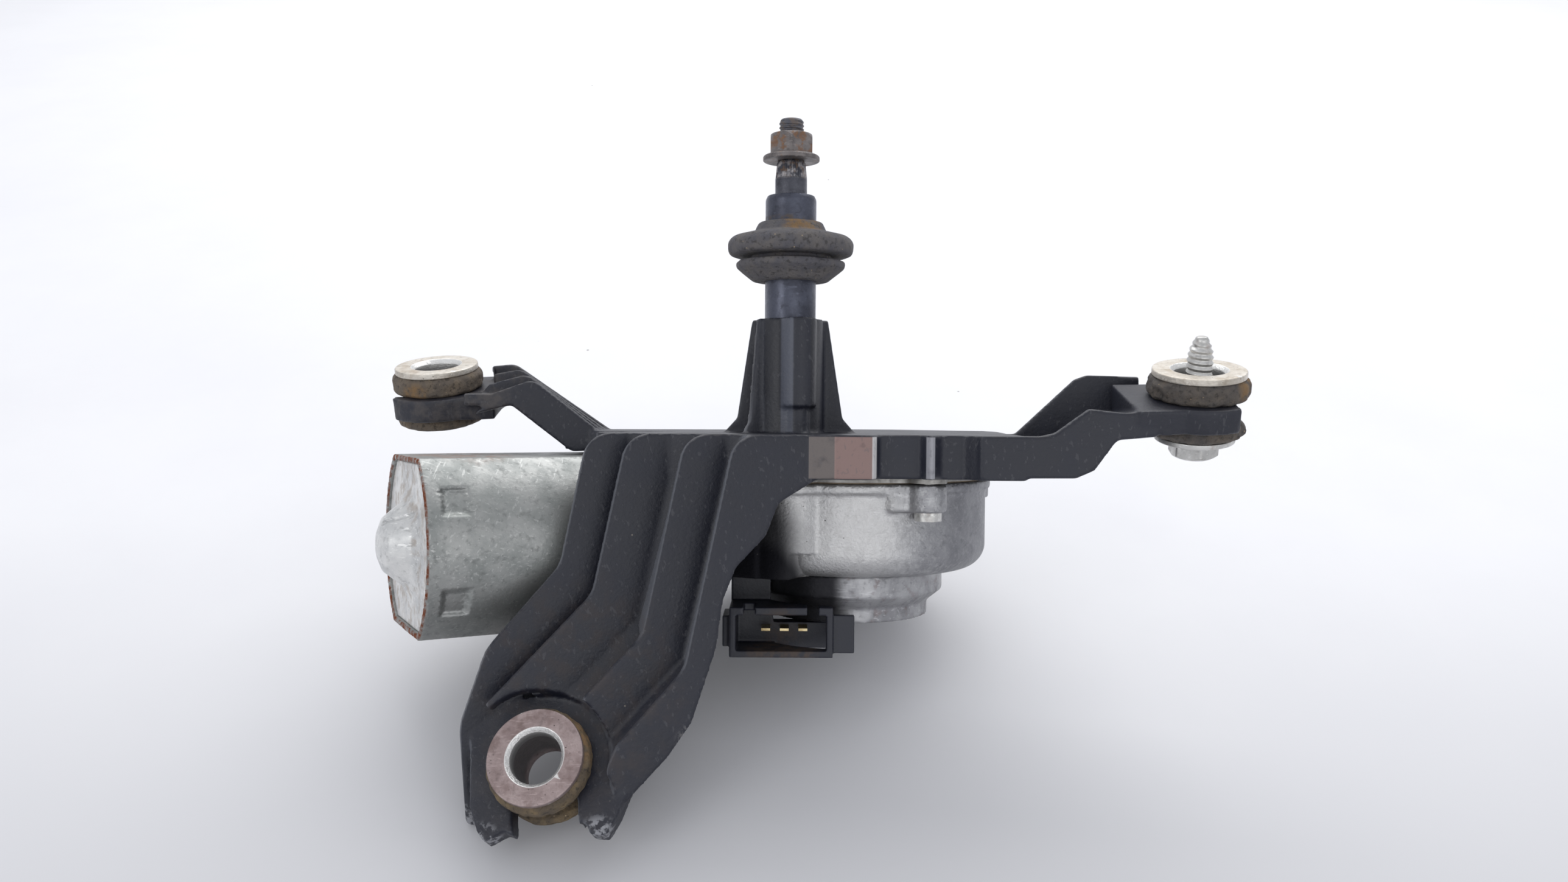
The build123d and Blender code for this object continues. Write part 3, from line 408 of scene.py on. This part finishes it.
def metal_look(name, colour, second, rough, metal=0.85, rust=0.0):
    """Plated or cast metal: two tones, fine scratches, stains and a little rust."""
    look = Look(name, colour, rough, metal)
    look.layer(look.cloud(9, 0.35, 0.68), second, rough + 0.12)
    look.layer(look.times(look.cloud(2.2, 0.5, 0.72), 0.5), tuple(0.55 * v for v in second), rough + 0.2)
    bright = tuple(min(1.0, 1.25 * v) for v in colour)
    look.layer(look.times(look.cloud(0.8, 0.6, 0.68, 2.0, (0.12, 1, 1)), 0.5), bright, rough - 0.08)
    if rust > 0:
        look.layer(look.times(look.cloud(4.5, 0.58, 0.7), rust), RUST, 0.85)
    return look


def housing_look():
    """Die-cast wall: mottled, with a painted highlight on the left, painted shade and a duller finish to
    the right, and painted shade beside the leg.
    """
    look = metal_look("cast_wall", srgb(168, 168, 170), srgb(146, 146, 149), 0.36)
    # painted highlight on the wall's left
    bright = look.near(row_point(*WALL_HIGHLIGHT), 14, 18)
    look.layer(look.times(bright, 0.6), srgb(206, 205, 203), 0.3)
    look.layer(look.times(look.cloud(1.6, 0.5, 0.64), 0.35), srgb(200, 200, 200), 0.3)
    # painted shade, and a duller finish, on the wall's right
    right = look.near(row_point(*DULL_SHADED_WALL), 18, 26)
    look.layer(look.times(right, 0.6), srgb(112, 113, 118), 0.5)
    # painted shade beside the leg and on the neck
    leg = look.near(row_point(*SHADE_ON_WALL_BY_LEG), 17, 12)
    look.layer(look.times(leg, 0.92), BLACK_PAINT_AND_SHADE, 0.7)
    neck = look.near(row_point(*SHADE_ON_NECK_BY_LEG), 12, 6)
    look.layer(look.times(neck, 0.92), BLACK_PAINT_AND_SHADE, 0.7)
    look.layer(look.times(look.specks(3.4, 0.08), look.cloud(12, 0.45, 0.6)), srgb(84, 82, 80), 0.7)
    return look.done(0.9, 0.16, 0.7)


def belly_look():
    """Cover under the housing: grey metal, black beside and behind the plug socket."""
    look = metal_look("belly", srgb(168, 168, 170), srgb(140, 140, 143), 0.42, metal=0.75, rust=0.15)
    look.layer(look.times(look.band(UNIT, -60, 13.5, 6.0, along=0), 0.95), BLACK_PAINT_AND_SHADE, 0.5)
    return look.done(1.0, 0.08)


def can_look():
    """Plated can: grey, with a warm painted highlight near the top, rust-red along the raw cut edge."""
    look = metal_look("can_plating", srgb(160, 161, 159), srgb(142, 145, 143), 0.42, metal=0.8)
    # warm painted highlight near the top
    top = look.near(row_point(*CAN_WARM_TOP_HIGHLIGHT, MOTOR), 18, 28)
    look.layer(look.times(look.times(top, look.cloud(10, 0.3, 0.7)), 0.4), srgb(190, 174, 156), 0.5)
    look.layer(look.times(look.band(MOTOR, -0.5, 0.3, 0.5), look.cloud(3, 0.35, 0.6)), RUST, 0.9)
    spot = look.near(row_point(*CAN_RUST_SPOT, MOTOR), 1.2, 2)
    look.layer(look.times(spot, look.cloud(1.5, 0.4, 0.6)), RUST, 0.9)
    foot = look.near(row_point(*CAN_UNDERSIDE, MOTOR), 12, 10)
    look.layer(look.times(look.times(foot, look.cloud(5, 0.4, 0.65)), 0.5), srgb(160, 110, 86), 0.8)
    look.layer(look.times(look.cloud(1.0, 0.63, 0.67, 2.0, (1, 0.05, 1)), 0.3), srgb(206, 206, 204), 0.35)
    return look.done(1.0, 0.05)


def cap_look():
    """Domed cap: light grey, stained round its rim."""
    look = metal_look("cap_plating", srgb(222, 222, 220), srgb(198, 199, 199), 0.4, metal=0.6)
    rim = look.band(MOTOR, 0.2, 3.2, 1.5)
    look.layer(look.times(look.times(rim, look.cloud(4, 0.46, 0.66)), 0.5), srgb(160, 144, 128), 0.7)
    return look.done(1.4, 0.08)


def sleeve_look(name, colour, second, stain, place=None):
    """Zinc flange: tinted, pitted and scratched, with a painted highlight on its chamfer and painted shade
    inside its bore.
    """
    look = metal_look(name, colour, second, 0.38, metal=0.7)
    pits = look.times(look.specks(1.7, 0.16), look.cloud(4, 0.4, 0.6))
    look.layer(pits, tuple(0.4 * v for v in second), 0.7)
    look.layer(look.times(look.cloud(6, 0.5, 0.66), 0.5), stain, 0.65)
    look.layer(look.times(look.edges(0.54, 0.60), 0.8), srgb(236, 235, 232), 0.22)
    if place is not None:
        # painted highlight on the chamfer and painted shade on the bore's inner wall
        chamfer = look.near(row_point(0, 0, -0.5, foot_frame(place)), 8.5, 0.3)
        inside = look.near(row_point(0, 0, -9.5, foot_frame(place)), 9.0, 3.0)
        look.layer(look.times(chamfer, 0.85), srgb(240, 240, 238), 0.2)
        look.layer(look.times(inside, 0.8), srgb(104, 103, 104), 0.5)
    return look.done(0.9, 0.12, 0.8)


def nut_look():
    """Phosphated nut with brown rust on its flats and a worn, brighter flange."""
    look = metal_look("nut_rusty", srgb(128, 122, 120), srgb(92, 88, 88), 0.42, metal=0.65)
    crown = look.band(UNIT, 87.6, 94.0, 0.4)
    look.layer(look.times(look.times(crown, look.cloud(3.2, 0.48, 0.6)), 0.6), srgb(136, 98, 68), 0.8)
    look.layer(look.times(look.cloud(1.6, 0.58, 0.68), 0.5), srgb(160, 122, 88), 0.85)
    look.layer(look.times(look.edges(0.54, 0.60), 0.6), srgb(206, 202, 198), 0.3)
    return look.done(0.7, 0.12, 0.8)


def spindle_look():
    """Spindle: dark, bright and worn at the knurl, with paler patches on its threaded tip."""
    look = metal_look("spindle_steel", srgb(92, 93, 100), srgb(68, 69, 76), 0.4, metal=0.75)
    knurl = look.band(UNIT, 80.6, 85.4, 1.6)
    look.layer(look.times(knurl, look.cloud(2.5, 0.4, 0.62)), srgb(168, 164, 164), 0.32)
    look.layer(look.times(look.times(knurl, look.cloud(2.0, 0.5, 0.62)), 0.6), srgb(128, 104, 84), 0.8)
    tip = look.times(look.band(UNIT, 94.0, 98.4, 0.5), look.cloud(2.0, 0.45, 0.6))
    look.layer(tip, srgb(112, 104, 100), 0.6)
    return look.done(0.6, 0.06)


def tube_look():
    """Tube: dark blue-grey with a soft sheen."""
    look = metal_look("tube_steel", srgb(82, 85, 97), srgb(64, 66, 76), 0.3, metal=0.6)
    collar = look.times(look.band(UNIT, 65.0, 67.0, 1.0), look.cloud(3, 0.45, 0.65))
    look.layer(look.times(collar, 0.6), srgb(104, 90, 74), 0.8)
    return look.done(1.0, 0.05)


def socket_look():
    """Black socket with brownish dust inside."""
    look = black_plastic("socket_shell")
    inside = look.near(row_point(*SOCKET_INSIDE), 9, 5)
    look.layer(look.times(look.times(inside, look.cloud(3, 0.35, 0.6)), 0.5), srgb(96, 80, 66), 0.85)
    look.layer(look.times(look.edges(0.53, 0.6), 0.4), srgb(92, 92, 96), 0.4)
    return look.done(0.8, 0.05)


# slots of one plain material: its two colours, roughness, share of metal and rust
PLAIN_SLOTS = {
    "brown_plastic": ((112, 72, 46), (90, 58, 38), 0.5, 0.0, 0.0),
    "gear_plastic": ((222, 218, 206), (204, 198, 180), 0.4, 0.0, 0.0),
    "paper": ((118, 106, 90), (94, 84, 72), 0.85, 0.0, 0.0),
    "carbon": ((52, 52, 54), (38, 38, 40), 0.6, 0.0, 0.0),
    "ferrite": ((78, 78, 80), (62, 62, 64), 0.6, 0.1, 0.0),
    "copper": ((198, 122, 76), (164, 92, 54), 0.35, 0.95, 0.0),
    "bronze": ((168, 132, 82), (138, 104, 62), 0.42, 0.9, 0.0),
    "brass_tab": ((206, 190, 150), (176, 154, 112), 0.35, 0.9, 0.0),
    "core_steel": ((128, 128, 130), (102, 102, 104), 0.5, 0.8, 0.3),
    "bright_steel": ((208, 207, 204), (182, 181, 178), 0.34, 0.85, 0.15),
    "dark_steel": ((96, 88, 82), (70, 64, 60), 0.5, 0.85, 0.8),
    "ground_steel": ((176, 176, 178), (150, 150, 152), 0.32, 0.85, 0.1),
    "cast_alloy": ((176, 176, 176), (146, 146, 147), 0.45, 0.85, 0.0),
    "cover_steel": ((170, 168, 164), (140, 138, 134), 0.44, 0.85, 0.25),
    "can_steel": ((158, 160, 156), (134, 138, 133), 0.46, 0.85, 0.15),
    "cap_steel": ((172, 172, 172), (150, 150, 150), 0.42, 0.85, 0.2),
}


def slot_looks():
    """One procedural material for each material slot of the record."""
    looks = {
        "bracket_plastic": black_plastic("nylon").done(),
        "black_plastic": black_plastic("socket_plastic").done(),
        "bush_rubber": rubber_look("bush_rubber", srgb(84, 72, 58), srgb(108, 92, 72)),
        "seal_rubber": rubber_look("seal_rubber", srgb(58, 54, 52), srgb(78, 70, 63)),
        "zinc_steel": sleeve_look("zinc", srgb(196, 188, 184), srgb(164, 156, 152), srgb(150, 132, 118)),
    }
    for slot, (colour, second, rough, metal, rust) in PLAIN_SLOTS.items():
        looks[slot] = metal_look(slot, srgb(*colour), srgb(*second), rough, metal, rust).done()
    return looks


# ---------- building pieces ----------
def eased(points, radius, steps=5):
    """Closed profile whose corners are rounded; a corner may give its own radius as a third value."""
    curve = []
    count = len(points)
    for index, point in enumerate(points):
        corner = Vector(point[:2])
        before = Vector(points[index - 1][:2])
        after = Vector(points[(index + 1) % count][:2])
        wanted = point[2] if len(point) > 2 else radius
        cut = min(wanted, 0.45 * (before - corner).length, 0.45 * (after - corner).length)
        if cut < 0.02:
            curve.append(corner)
            continue
        start = corner + (before - corner).normalized() * cut
        end = corner + (after - corner).normalized() * cut
        for step in range(steps + 1):
            t = step / steps
            curve.append(start * (1 - t) ** 2 + corner * 2 * t * (1 - t) + end * t * t)
    return curve


COARSE = 4.0                         # mm between the points of a plain stretch


def divided(curve, spacing, fine_above=None):
    """Closed curve with extra points at most a spacing apart; below fine_above it stays coarse."""
    result = []
    for index, point in enumerate(curve):
        after = curve[(index + 1) % len(curve)]
        plain = fine_above is not None and max(point.y, after.y) < fine_above
        parts = max(1, math.ceil((after - point).length / (COARSE if plain else spacing)))
        result += [point.lerp(after, step / parts) for step in range(parts)]
    return result


def lathe(name, curve, base, sides, shape=None):
    """Closed ring of revolution about the frame's Z; shape may move each (radius, height) by its angle."""
    build = bmesh.new()
    rings = []
    for side in range(sides):
        angle = 2 * math.pi * side / sides
        ring = []
        for point in curve:
            radius, height = point
            if shape is not None:
                radius, height = shape(radius, height, angle)
            spot = Vector((radius * math.cos(angle), radius * math.sin(angle), height)) * MM
            ring.append(build.verts.new(base @ spot))
        rings.append(ring)
    for side in range(sides):
        near, far = rings[side], rings[(side + 1) % sides]
        for index in range(len(curve)):
            after = (index + 1) % len(curve)
            build.faces.new((near[index], far[index], far[after], near[after]))
    bmesh.ops.remove_doubles(build, verts=build.verts, dist=1e-7)
    bmesh.ops.recalc_face_normals(build, faces=build.faces)
    mesh = bpy.data.meshes.new(name)
    build.to_mesh(mesh)
    build.free()
    mesh.shade_smooth()
    obj = bpy.data.objects.new(name, mesh)
    bpy.context.scene.collection.objects.link(obj)
    return obj


def stand_for(obj, node, material):
    """The piece replaces that CAD node, with its body."""
    obj.data.materials.clear()
    obj.data.materials.append(material)
    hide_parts(node)
    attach(obj, NODES[node]["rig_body"])
    return obj


def applied(obj):
    """Bakes the object's modifiers into its mesh."""
    graph = bpy.context.evaluated_depsgraph_get()
    mesh = bpy.data.meshes.new_from_object(obj.evaluated_get(graph))
    obj.modifiers.clear()
    obj.data = mesh
    return obj


def with_block(mesh, low, high):
    """Adds an upright block of the spindle's frame, between two corners in mm, to a mesh."""
    build = bmesh.new()
    build.from_mesh(mesh)
    middle = (Vector(low) + Vector(high)) / 2
    size = Vector(high) - Vector(low)
    place = UNIT @ Matrix.Translation(middle * MM) @ Matrix.Diagonal((*(size * MM), 1))
    bmesh.ops.create_cube(build, size=1.0, matrix=place)
    build.to_mesh(mesh)
    build.free()


def softened(node, voxel, passes, most=190000, block=None):
    """Copy of a CAD node with rounded edges: remeshed at the voxel size in mm, smoothed, then thinned
    to that many triangles at most.
    """
    obj = bpy.data.objects.new(node + "_piece", NODES[node].data.copy())
    bpy.context.scene.collection.objects.link(obj)
    if block is not None:
        with_block(obj.data, *block)
    remesh = obj.modifiers.new("remesh", "REMESH")
    remesh.mode = "VOXEL"
    remesh.voxel_size = voxel * MM
    smooth = obj.modifiers.new("smooth", "SMOOTH")
    smooth.factor = 0.5
    smooth.iterations = passes
    applied(obj)
    if len(obj.data.polygons) * 2 > most:
        thin = obj.modifiers.new("thin", "DECIMATE")
        thin.ratio = most / (len(obj.data.polygons) * 2)
        applied(obj)
    obj.data.shade_smooth()
    return obj


def reshaped(obj, base, rule):
    """Moves every vertex by a rule that works in that frame, in mm."""
    back = base.inverted()
    for vertex in obj.data.vertices:
        vertex.co = base @ (Vector(rule(*((back @ vertex.co) / MM))) * MM)
    return obj


def rough_edge(seed, depth, grain):
    """Shape rule: uneven, slightly shrunken outside of an old rubber piece."""
    def rule(radius, height, angle):
        """Draws the surface in by the noise at that place."""
        spot = Vector((radius * math.cos(angle), radius * math.sin(angle), height)) / grain
        value = noise.noise(spot + Vector((seed, 0, 0)))
        return radius - depth * max(0.0, value + 0.35) * (radius > SLEEVE_R + 1), height
    return rule


def hexagonal(flats):
    """Shape rule: cuts a round profile to a hexagon over those flats."""
    def rule(radius, height, angle):
        """Keeps the radius inside the nearest flat."""
        turn = ((angle + math.pi / 6) % (math.pi / 3)) - math.pi / 6
        return min(radius, flats / 2 / math.cos(turn)), height
    return rule


def threaded(low, high, pitch, depth, core):
    """Shape rule: thread between two heights, on the parts outside the core radius."""
    def rule(radius, height, angle):
        """Cuts a V groove that winds up with the angle."""
        if radius < core or not low < height < high:
            return radius, height
        phase = (height / pitch + angle / (2 * math.pi)) % 1.0
        fade = min(1.0, (height - low) / pitch, (high - height) / pitch)
        return radius - depth * fade * (1 - abs(2 * phase - 1)), height
    return rule


# ---------- the pieces ----------
# Profiles are (radius, height) in mm; a third value is that corner's own rounding.
BUSH_PROFILE = [(SLEEVE_R, -SLEEVE_FLANGE_T), (14.0, -SLEEVE_FLANGE_T), (RUBBER_R, -3.4), (RUBBER_R, -7.4),
                (14.2, -FOOT_FACE), (RUBBER_GROOVE, -FOOT_FACE, 0.2), (RUBBER_GROOVE, -FOOT_BACK, 0.2),
                (14.2, -FOOT_BACK), (15.0, -18.7), (13.4, -20.2), (SLEEVE_R, -20.2)]
SLEEVE_PROFILE = [(8.5, 0.0, 0.2), (SLEEVE_FLANGE, 0.0, 0.5), (SLEEVE_FLANGE, -SLEEVE_FLANGE_T, 0.4),
                  (SLEEVE_R, -SLEEVE_FLANGE_T, 0.2), (SLEEVE_R, -SLEEVE_L, 0.3),
                  (SLEEVE_BORE, -SLEEVE_L, 0.3), (SLEEVE_BORE, -1.3, 0.2)]
SCREW_PROFILE = [(0, -22.6), (0, SCREW_HEAD_FOOT), (5.6, SCREW_HEAD_FOOT), (SCREW_HEAD_R, -26.6),
                 (SCREW_HEAD_R, WASHER_FOOT), (SCREW_R, WASHER_FOOT), (SCREW_R, 3.0), (3.6, 6.0),
                 (2.5, 8.6), (1.5, 10.0), (0, 10.0)]
WASHER_PROFILE = [(WASHER_BORE, -SLEEVE_L), (WASHER_R, -SLEEVE_L), (WASHER_R, WASHER_FOOT),
                  (WASHER_BORE, WASHER_FOOT)]
SPINDLE_PROFILE = [(0, SHAFT_FOOT), (SHAFT_R, SHAFT_FOOT), (SHAFT_R, 79.0), (SHAFT_R, KNURL_FOOT),
                   (4.5, 84.6), (THREAD_R, THREAD_FOOT), (THREAD_R, 97.3), (3.2, THREAD_TOP),
                   (0, THREAD_TOP)]
TUBE_PROFILE = [(TUBE_BORE_R, TUBE_FOOT), (TUBE_FLANGE_R, TUBE_FOOT), (TUBE_FLANGE_R, TUBE_FLANGE_TOP),
                (TUBE_R, TUBE_FLANGE_TOP), (TUBE_R, 73.0, 0.8), (7.4, TUBE_TOP), (TUBE_BORE_R, TUBE_TOP)]
NUT_PROFILE = [(4.0, NUT_Z), (NUT_FLANGE_R, NUT_Z), (NUT_FLANGE_R, 86.5), (7.6, 87.4), (7.52, 91.8),
               (6.4, NUT_Z + NUT_H), (4.6, NUT_Z + NUT_H), (4.0, 93.0)]
GROMMET_PROFILE = [(TUBE_R, 47.5, 0.2), (11.8, 47.5, 0.8), (17.0, 51.6), (17.3, 52.6), (17.0, 53.6),
                   (12.5, 54.3, 0.4), (12.5, 55.2, 0.4), (19.0, 55.6, 1.0), (19.8, 57.2, 1.0),
                   (19.8, 59.4, 1.2), (18.6, 61.2, 1.2), (14.0, 62.4), (11.6, 63.0, 0.5),
                   (10.0, 65.9, 0.7), (TUBE_R, 65.9, 0.2)]


def add_foot(side, place, rubber, zinc, seed, torn):
    """Rubber bush and its steel sleeve."""
    base = foot_frame(place)
    curve = divided(eased(BUSH_PROFILE, 0.9), 0.6)
    bush = lathe(side + "_bush_piece", curve, base, 128, rough_edge(seed, torn, 2.4))
    stand_for(bush, side + "_bush", rubber)
    sleeve = lathe(side + "_sleeve_piece", divided(eased(SLEEVE_PROFILE, 0.3), 1.2), base, 128)
    stand_for(sleeve, side + "_sleeve", zinc)


def add_feet():
    """All three bushes; each has its own dirt."""
    left = row_point(-4, -14, -8, foot_frame(LEFT_FOOT))
    right = row_point(13, -8, -4, foot_frame(RIGHT_FOOT))
    front = row_point(12, 4, -3, foot_frame(FRONT_FOOT))
    rubbers = {
        "left": rubber_look("left_rubber", srgb(92, 84, 76), srgb(114, 102, 88), (left, 3)),
        "right": rubber_look("right_rubber", srgb(78, 74, 72), srgb(98, 90, 82), (right, 4)),
        "front": rubber_look("front_rubber", srgb(88, 78, 66), srgb(118, 102, 78), (front, 5)),
    }
    zincs = {
        "left": sleeve_look("left_zinc", srgb(214, 208, 198), srgb(186, 178, 166), srgb(156, 138, 118),
                            LEFT_FOOT),
        "right": sleeve_look("right_zinc", srgb(216, 210, 200), srgb(190, 182, 170), srgb(160, 146, 126),
                            RIGHT_FOOT),
        "front": sleeve_look("front_zinc", srgb(166, 150, 148), srgb(138, 122, 120), srgb(112, 94, 90),
                            FRONT_FOOT),
    }
    feet = {
        "left": (LEFT_FOOT, 3.0, 0.5),
        "right": (RIGHT_FOOT, 11.0, 0.9),
        "front": (FRONT_FOOT, 23.0, 0.5),
    }
    for side, (place, seed, torn) in feet.items():
        add_foot(side, place, rubbers[side], zincs[side], seed, torn)


def add_foot_screw(material):
    """The right foot's hexagon screw with its coarse tapered thread, and the washer under the foot."""
    base = foot_frame(RIGHT_FOOT)
    curve = divided(eased(SCREW_PROFILE, 0.35), 0.2)
    cut = hexagonal(SCREW_FLATS)
    thread = threaded(low=-19.0, high=9.6, pitch=1.8, depth=0.55, core=1.0)

    def shape(radius, height, angle):
        """Hexagon below the washer, thread above it."""
        if height < -22.0:
            return cut(radius, height, angle)
        return thread(radius, height, angle)

    stand_for(lathe("mount_screw_piece", curve, base, 72, shape), "mount_screw", material)
    ring = divided(eased(WASHER_PROFILE, 0.35), 1.0)
    stand_for(lathe("mount_washer_piece", ring, base, 96), "mount_washer", material)


def add_spindle():
    """Knurled and threaded spindle, its tube and nut."""
    thread = threaded(low=THREAD_FOOT, high=98.0, pitch=THREAD_PITCH, depth=0.55, core=2.0)

    def shape(radius, height, angle):
        """Knurl on the taper, thread above it."""
        if radius > 4.2 and KNURL_FOOT < height < KNURL_TOP:
            return radius - KNURL_DEPTH * (0.5 + 0.5 * math.cos(KNURL_TEETH * angle)), height
        return thread(radius, height, angle)

    curve = divided(eased(SPINDLE_PROFILE, 0.3), 0.25, fine_above=KNURL_FOOT - 0.5)
    stand_for(lathe("spindle_piece", curve, UNIT, 180, shape), "spindle", spindle_look())
    tube = divided(eased(TUBE_PROFILE, 0.3), 2.0)
    stand_for(lathe("spindle_tube_piece", tube, UNIT, 96), "spindle_tube", tube_look())
    cut = hexagonal(NUT_FLATS)

    def nut_shape(radius, height, angle):
        """Round flange with a hexagon on it."""
        return cut(radius, height, angle) if height > 87.0 else (radius, height)

    nut = lathe("spindle_nut_piece", divided(eased(NUT_PROFILE, 0.35), 0.4), UNIT, 144, nut_shape)
    stand_for(nut, "spindle_nut", nut_look())


GROMMET_DENT = 0.35
TEAR_ANGLE, TEAR_HALF, TEAR_DEPTH = 5.35, 0.22, 1.3      # radians, radians, mm


def add_grommet():
    """Sealing grommet: weathered, stained ochre round its collar, a little torn at its lower ring."""
    stain = row_point(*COLLAR_STAIN)
    look = rubber_look("grommet_rubber", srgb(84, 83, 88), srgb(102, 98, 96), (stain, 4))

    def shape(radius, height, angle):
        """Shallow dents all round and a tear in the lower ring's rim."""
        spot = Vector((math.cos(angle) * 3, math.sin(angle) * 3, height / 3))
        dent = GROMMET_DENT * max(0.0, noise.noise(spot) + 0.2) if radius > 9 else 0.0
        torn = 0.0
        if height < 54 and radius > 14:
            torn = TEAR_DEPTH * max(0.0, 1 - abs(angle - TEAR_ANGLE) / TEAR_HALF)
        return radius - dent - torn, height

    curve = divided(eased(GROMMET_PROFILE, 0.9), 0.5)
    stand_for(lathe("grommet_piece", curve, UNIT, 144, shape), "grommet", look)


STAKE_HEIGHTS = (-15.0, 15.0)
STAKE_Z, STAKE_HALF, STAKE_DEPTH = 9.0, 4.2, 1.5


def can_rule(x, y, z):
    """Stake marks on the can's front side near its free end."""
    sunk = 0.0
    for height in STAKE_HEIGHTS:
        away = max(abs(y - height), abs(z - STAKE_Z))
        if x > 20 and away < STAKE_HALF:
            sunk = STAKE_DEPTH * min(1.0, STAKE_HALF - away)
    return x - sunk, y, z


def housing_rule(x, y, z):
    """Large round-over along the bottom edge of the housing's wheel side."""
    centre = Vector(WHEEL_CENTRE)
    offset = Vector((x, y)) - centre
    depth = FILLET_TOP - z
    if depth <= 0 or x < 0:
        return x, y, z
    skin = 0.0 if offset.length > HOUSING_R - 1.5 else HOUSING_SKIN
    limit = HOUSING_R - FILLET - skin + math.sqrt(max(0.0, FILLET ** 2 - min(depth, FILLET) ** 2))
    if offset.length <= limit:
        return x, y, z
    moved = centre + offset.normalized() * limit
    return moved.x, moved.y, z


SLIT_FROM, SLIT_TO, SLIT_Y, SLIT_SLOPE = 2, 12, -6.0, -0.35
SLIT_HALF, SLIT_DEPTH = 0.7, 0.9


def cap_rule(x, y, z):
    """Short slit pressed into the dome."""
    away = abs(y - SLIT_Y - SLIT_SLOPE * x)
    if z < 0.5 and away < SLIT_HALF and SLIT_FROM < x < SLIT_TO:
        return x, y, z + SLIT_DEPTH
    return x, y, z


SOCKET_BACK = ((-18.2, 7.0, -69.6), (13.7, 12.8, -61.2))     # wall behind the tabs


def add_castings():
    """Bracket, housing, covers, socket and motor shells: remeshed copies with soft edges."""
    stand_for(softened("bracket", voxel=0.62, passes=5), "bracket", bracket_look())
    housing = reshaped(softened("gear_housing", voxel=0.62, passes=14), UNIT, housing_rule)
    stand_for(housing, "gear_housing", housing_look())
    cover = softened("bottom_cover", voxel=0.6, passes=4, most=90000)
    stand_for(cover, "bottom_cover", belly_look())
    shell = softened("connector_shell", voxel=0.32, passes=3, most=60000, block=SOCKET_BACK)
    stand_for(shell, "connector_shell", socket_look())
    can = reshaped(softened("motor_can", voxel=0.6, passes=2, most=150000), MOTOR, can_rule)
    stand_for(can, "motor_can", can_look())
    cap = reshaped(softened("end_cap", voxel=0.45, passes=3, most=90000), MOTOR, cap_rule)
    stand_for(cap, "end_cap", cap_look())


# ---------- surroundings ----------
def add_camera():
    """Camera in front of the unit, given in the spindle's frame."""
    data = bpy.data.cameras.new("camera")
    data.sensor_width = SENSOR
    data.lens = CAMERA_LENS
    data.clip_start = 0.01
    data.clip_end = 20.0
    camera = bpy.data.objects.new("camera", data)
    bpy.context.scene.collection.objects.link(camera)
    look = Matrix.Rotation(math.radians(90.0 - CAMERA_DOWN), 4, "X")
    roll = Matrix.Rotation(math.radians(CAMERA_ROLL), 4, "Z")
    place = Matrix.Translation(Vector(CAMERA_AT) * MM)
    camera.matrix_world = UNIT @ place @ look @ roll
    bpy.context.scene.camera = camera


def floor_look():
    """Pale painted board with faint clouds and dust specks, with painted shade a little darker towards the
    front.
    """
    look = Look("floor_board", (0.80, 0.80, 0.82), 0.55)
    look.layer(look.times(look.cloud(120, 0.3, 0.75), 0.5), (0.74, 0.74, 0.77), 0.6)
    # painted shade, darker towards the front
    near_side_shade = look.band(Matrix.Identity(4), -20000, -150, 260, along=1)
    look.layer(near_side_shade, (0.58, 0.58, 0.60), 0.6)
    look.layer(look.times(look.specks(30.0, 0.03), look.cloud(60, 0.5, 0.65)), (0.3, 0.28, 0.27), 0.8)
    return look.done(20.0, 0.05)


FLOOR_HALF = 15.0                    # m


def add_floor():
    """Wide pale floor under the unit."""
    mesh = bpy.data.meshes.new("floor")
    build = bmesh.new()
    bmesh.ops.create_grid(build, x_segments=8, y_segments=8, size=FLOOR_HALF)
    build.to_mesh(mesh)
    build.free()
    floor = bpy.data.objects.new("floor", mesh)
    bpy.context.scene.collection.objects.link(floor)
    mesh.materials.append(floor_look())


def area_light(name, at, target, size, power):
    """Rectangular softbox that faces its target."""
    data = bpy.data.lights.new(name, "AREA")
    data.shape = "RECTANGLE"
    data.size, data.size_y = size
    data.energy = power
    light = bpy.data.objects.new(name, data)
    bpy.context.scene.collection.objects.link(light)
    light.location = at
    light.rotation_euler = (Vector(target) - Vector(at)).to_track_quat("-Z", "Y").to_euler()


SKY_COLOUR, SKY_STRENGTH = (0.93, 0.95, 1.0), 0.72


def add_light():
    """Bright even light: a pale sky, a large softbox above and behind, weak ones at both front sides."""
    world = bpy.data.worlds.new("sky")
    bpy.context.scene.world = world
    world.use_nodes = True
    back = world.node_tree.nodes["Background"]
    back.inputs["Color"].default_value = (*SKY_COLOUR, 1)
    back.inputs["Strength"].default_value = SKY_STRENGTH
    area_light("back", at=(0.15, 1.05, 1.0), target=(0, 0.1, 0.05), size=(1.8, 0.9), power=15.0)
    area_light("side", at=(-0.9, -0.7, 0.7), target=(0, 0, 0.06), size=(0.5, 0.7), power=2.2)
    area_light("front", at=(0.35, -1.0, 0.55), target=(0, -0.05, 0.02), size=(1.2, 0.7), power=2.2)
    bpy.context.scene.view_settings.view_transform = "Standard"


def paint_nodes():
    """Gives every CAD node that stays in view its slot's material."""
    for name, node in NODES.items():
        for index in range(len(node.material_slots)):
            node.material_slots[index].material = LOOKS[SLOT_OF[name]]


LOOKS = slot_looks()
paint_nodes()
add_castings()
add_feet()
add_foot_screw(LOOKS["bright_steel"])
add_spindle()
add_grommet()
add_camera()
add_floor()
add_light()
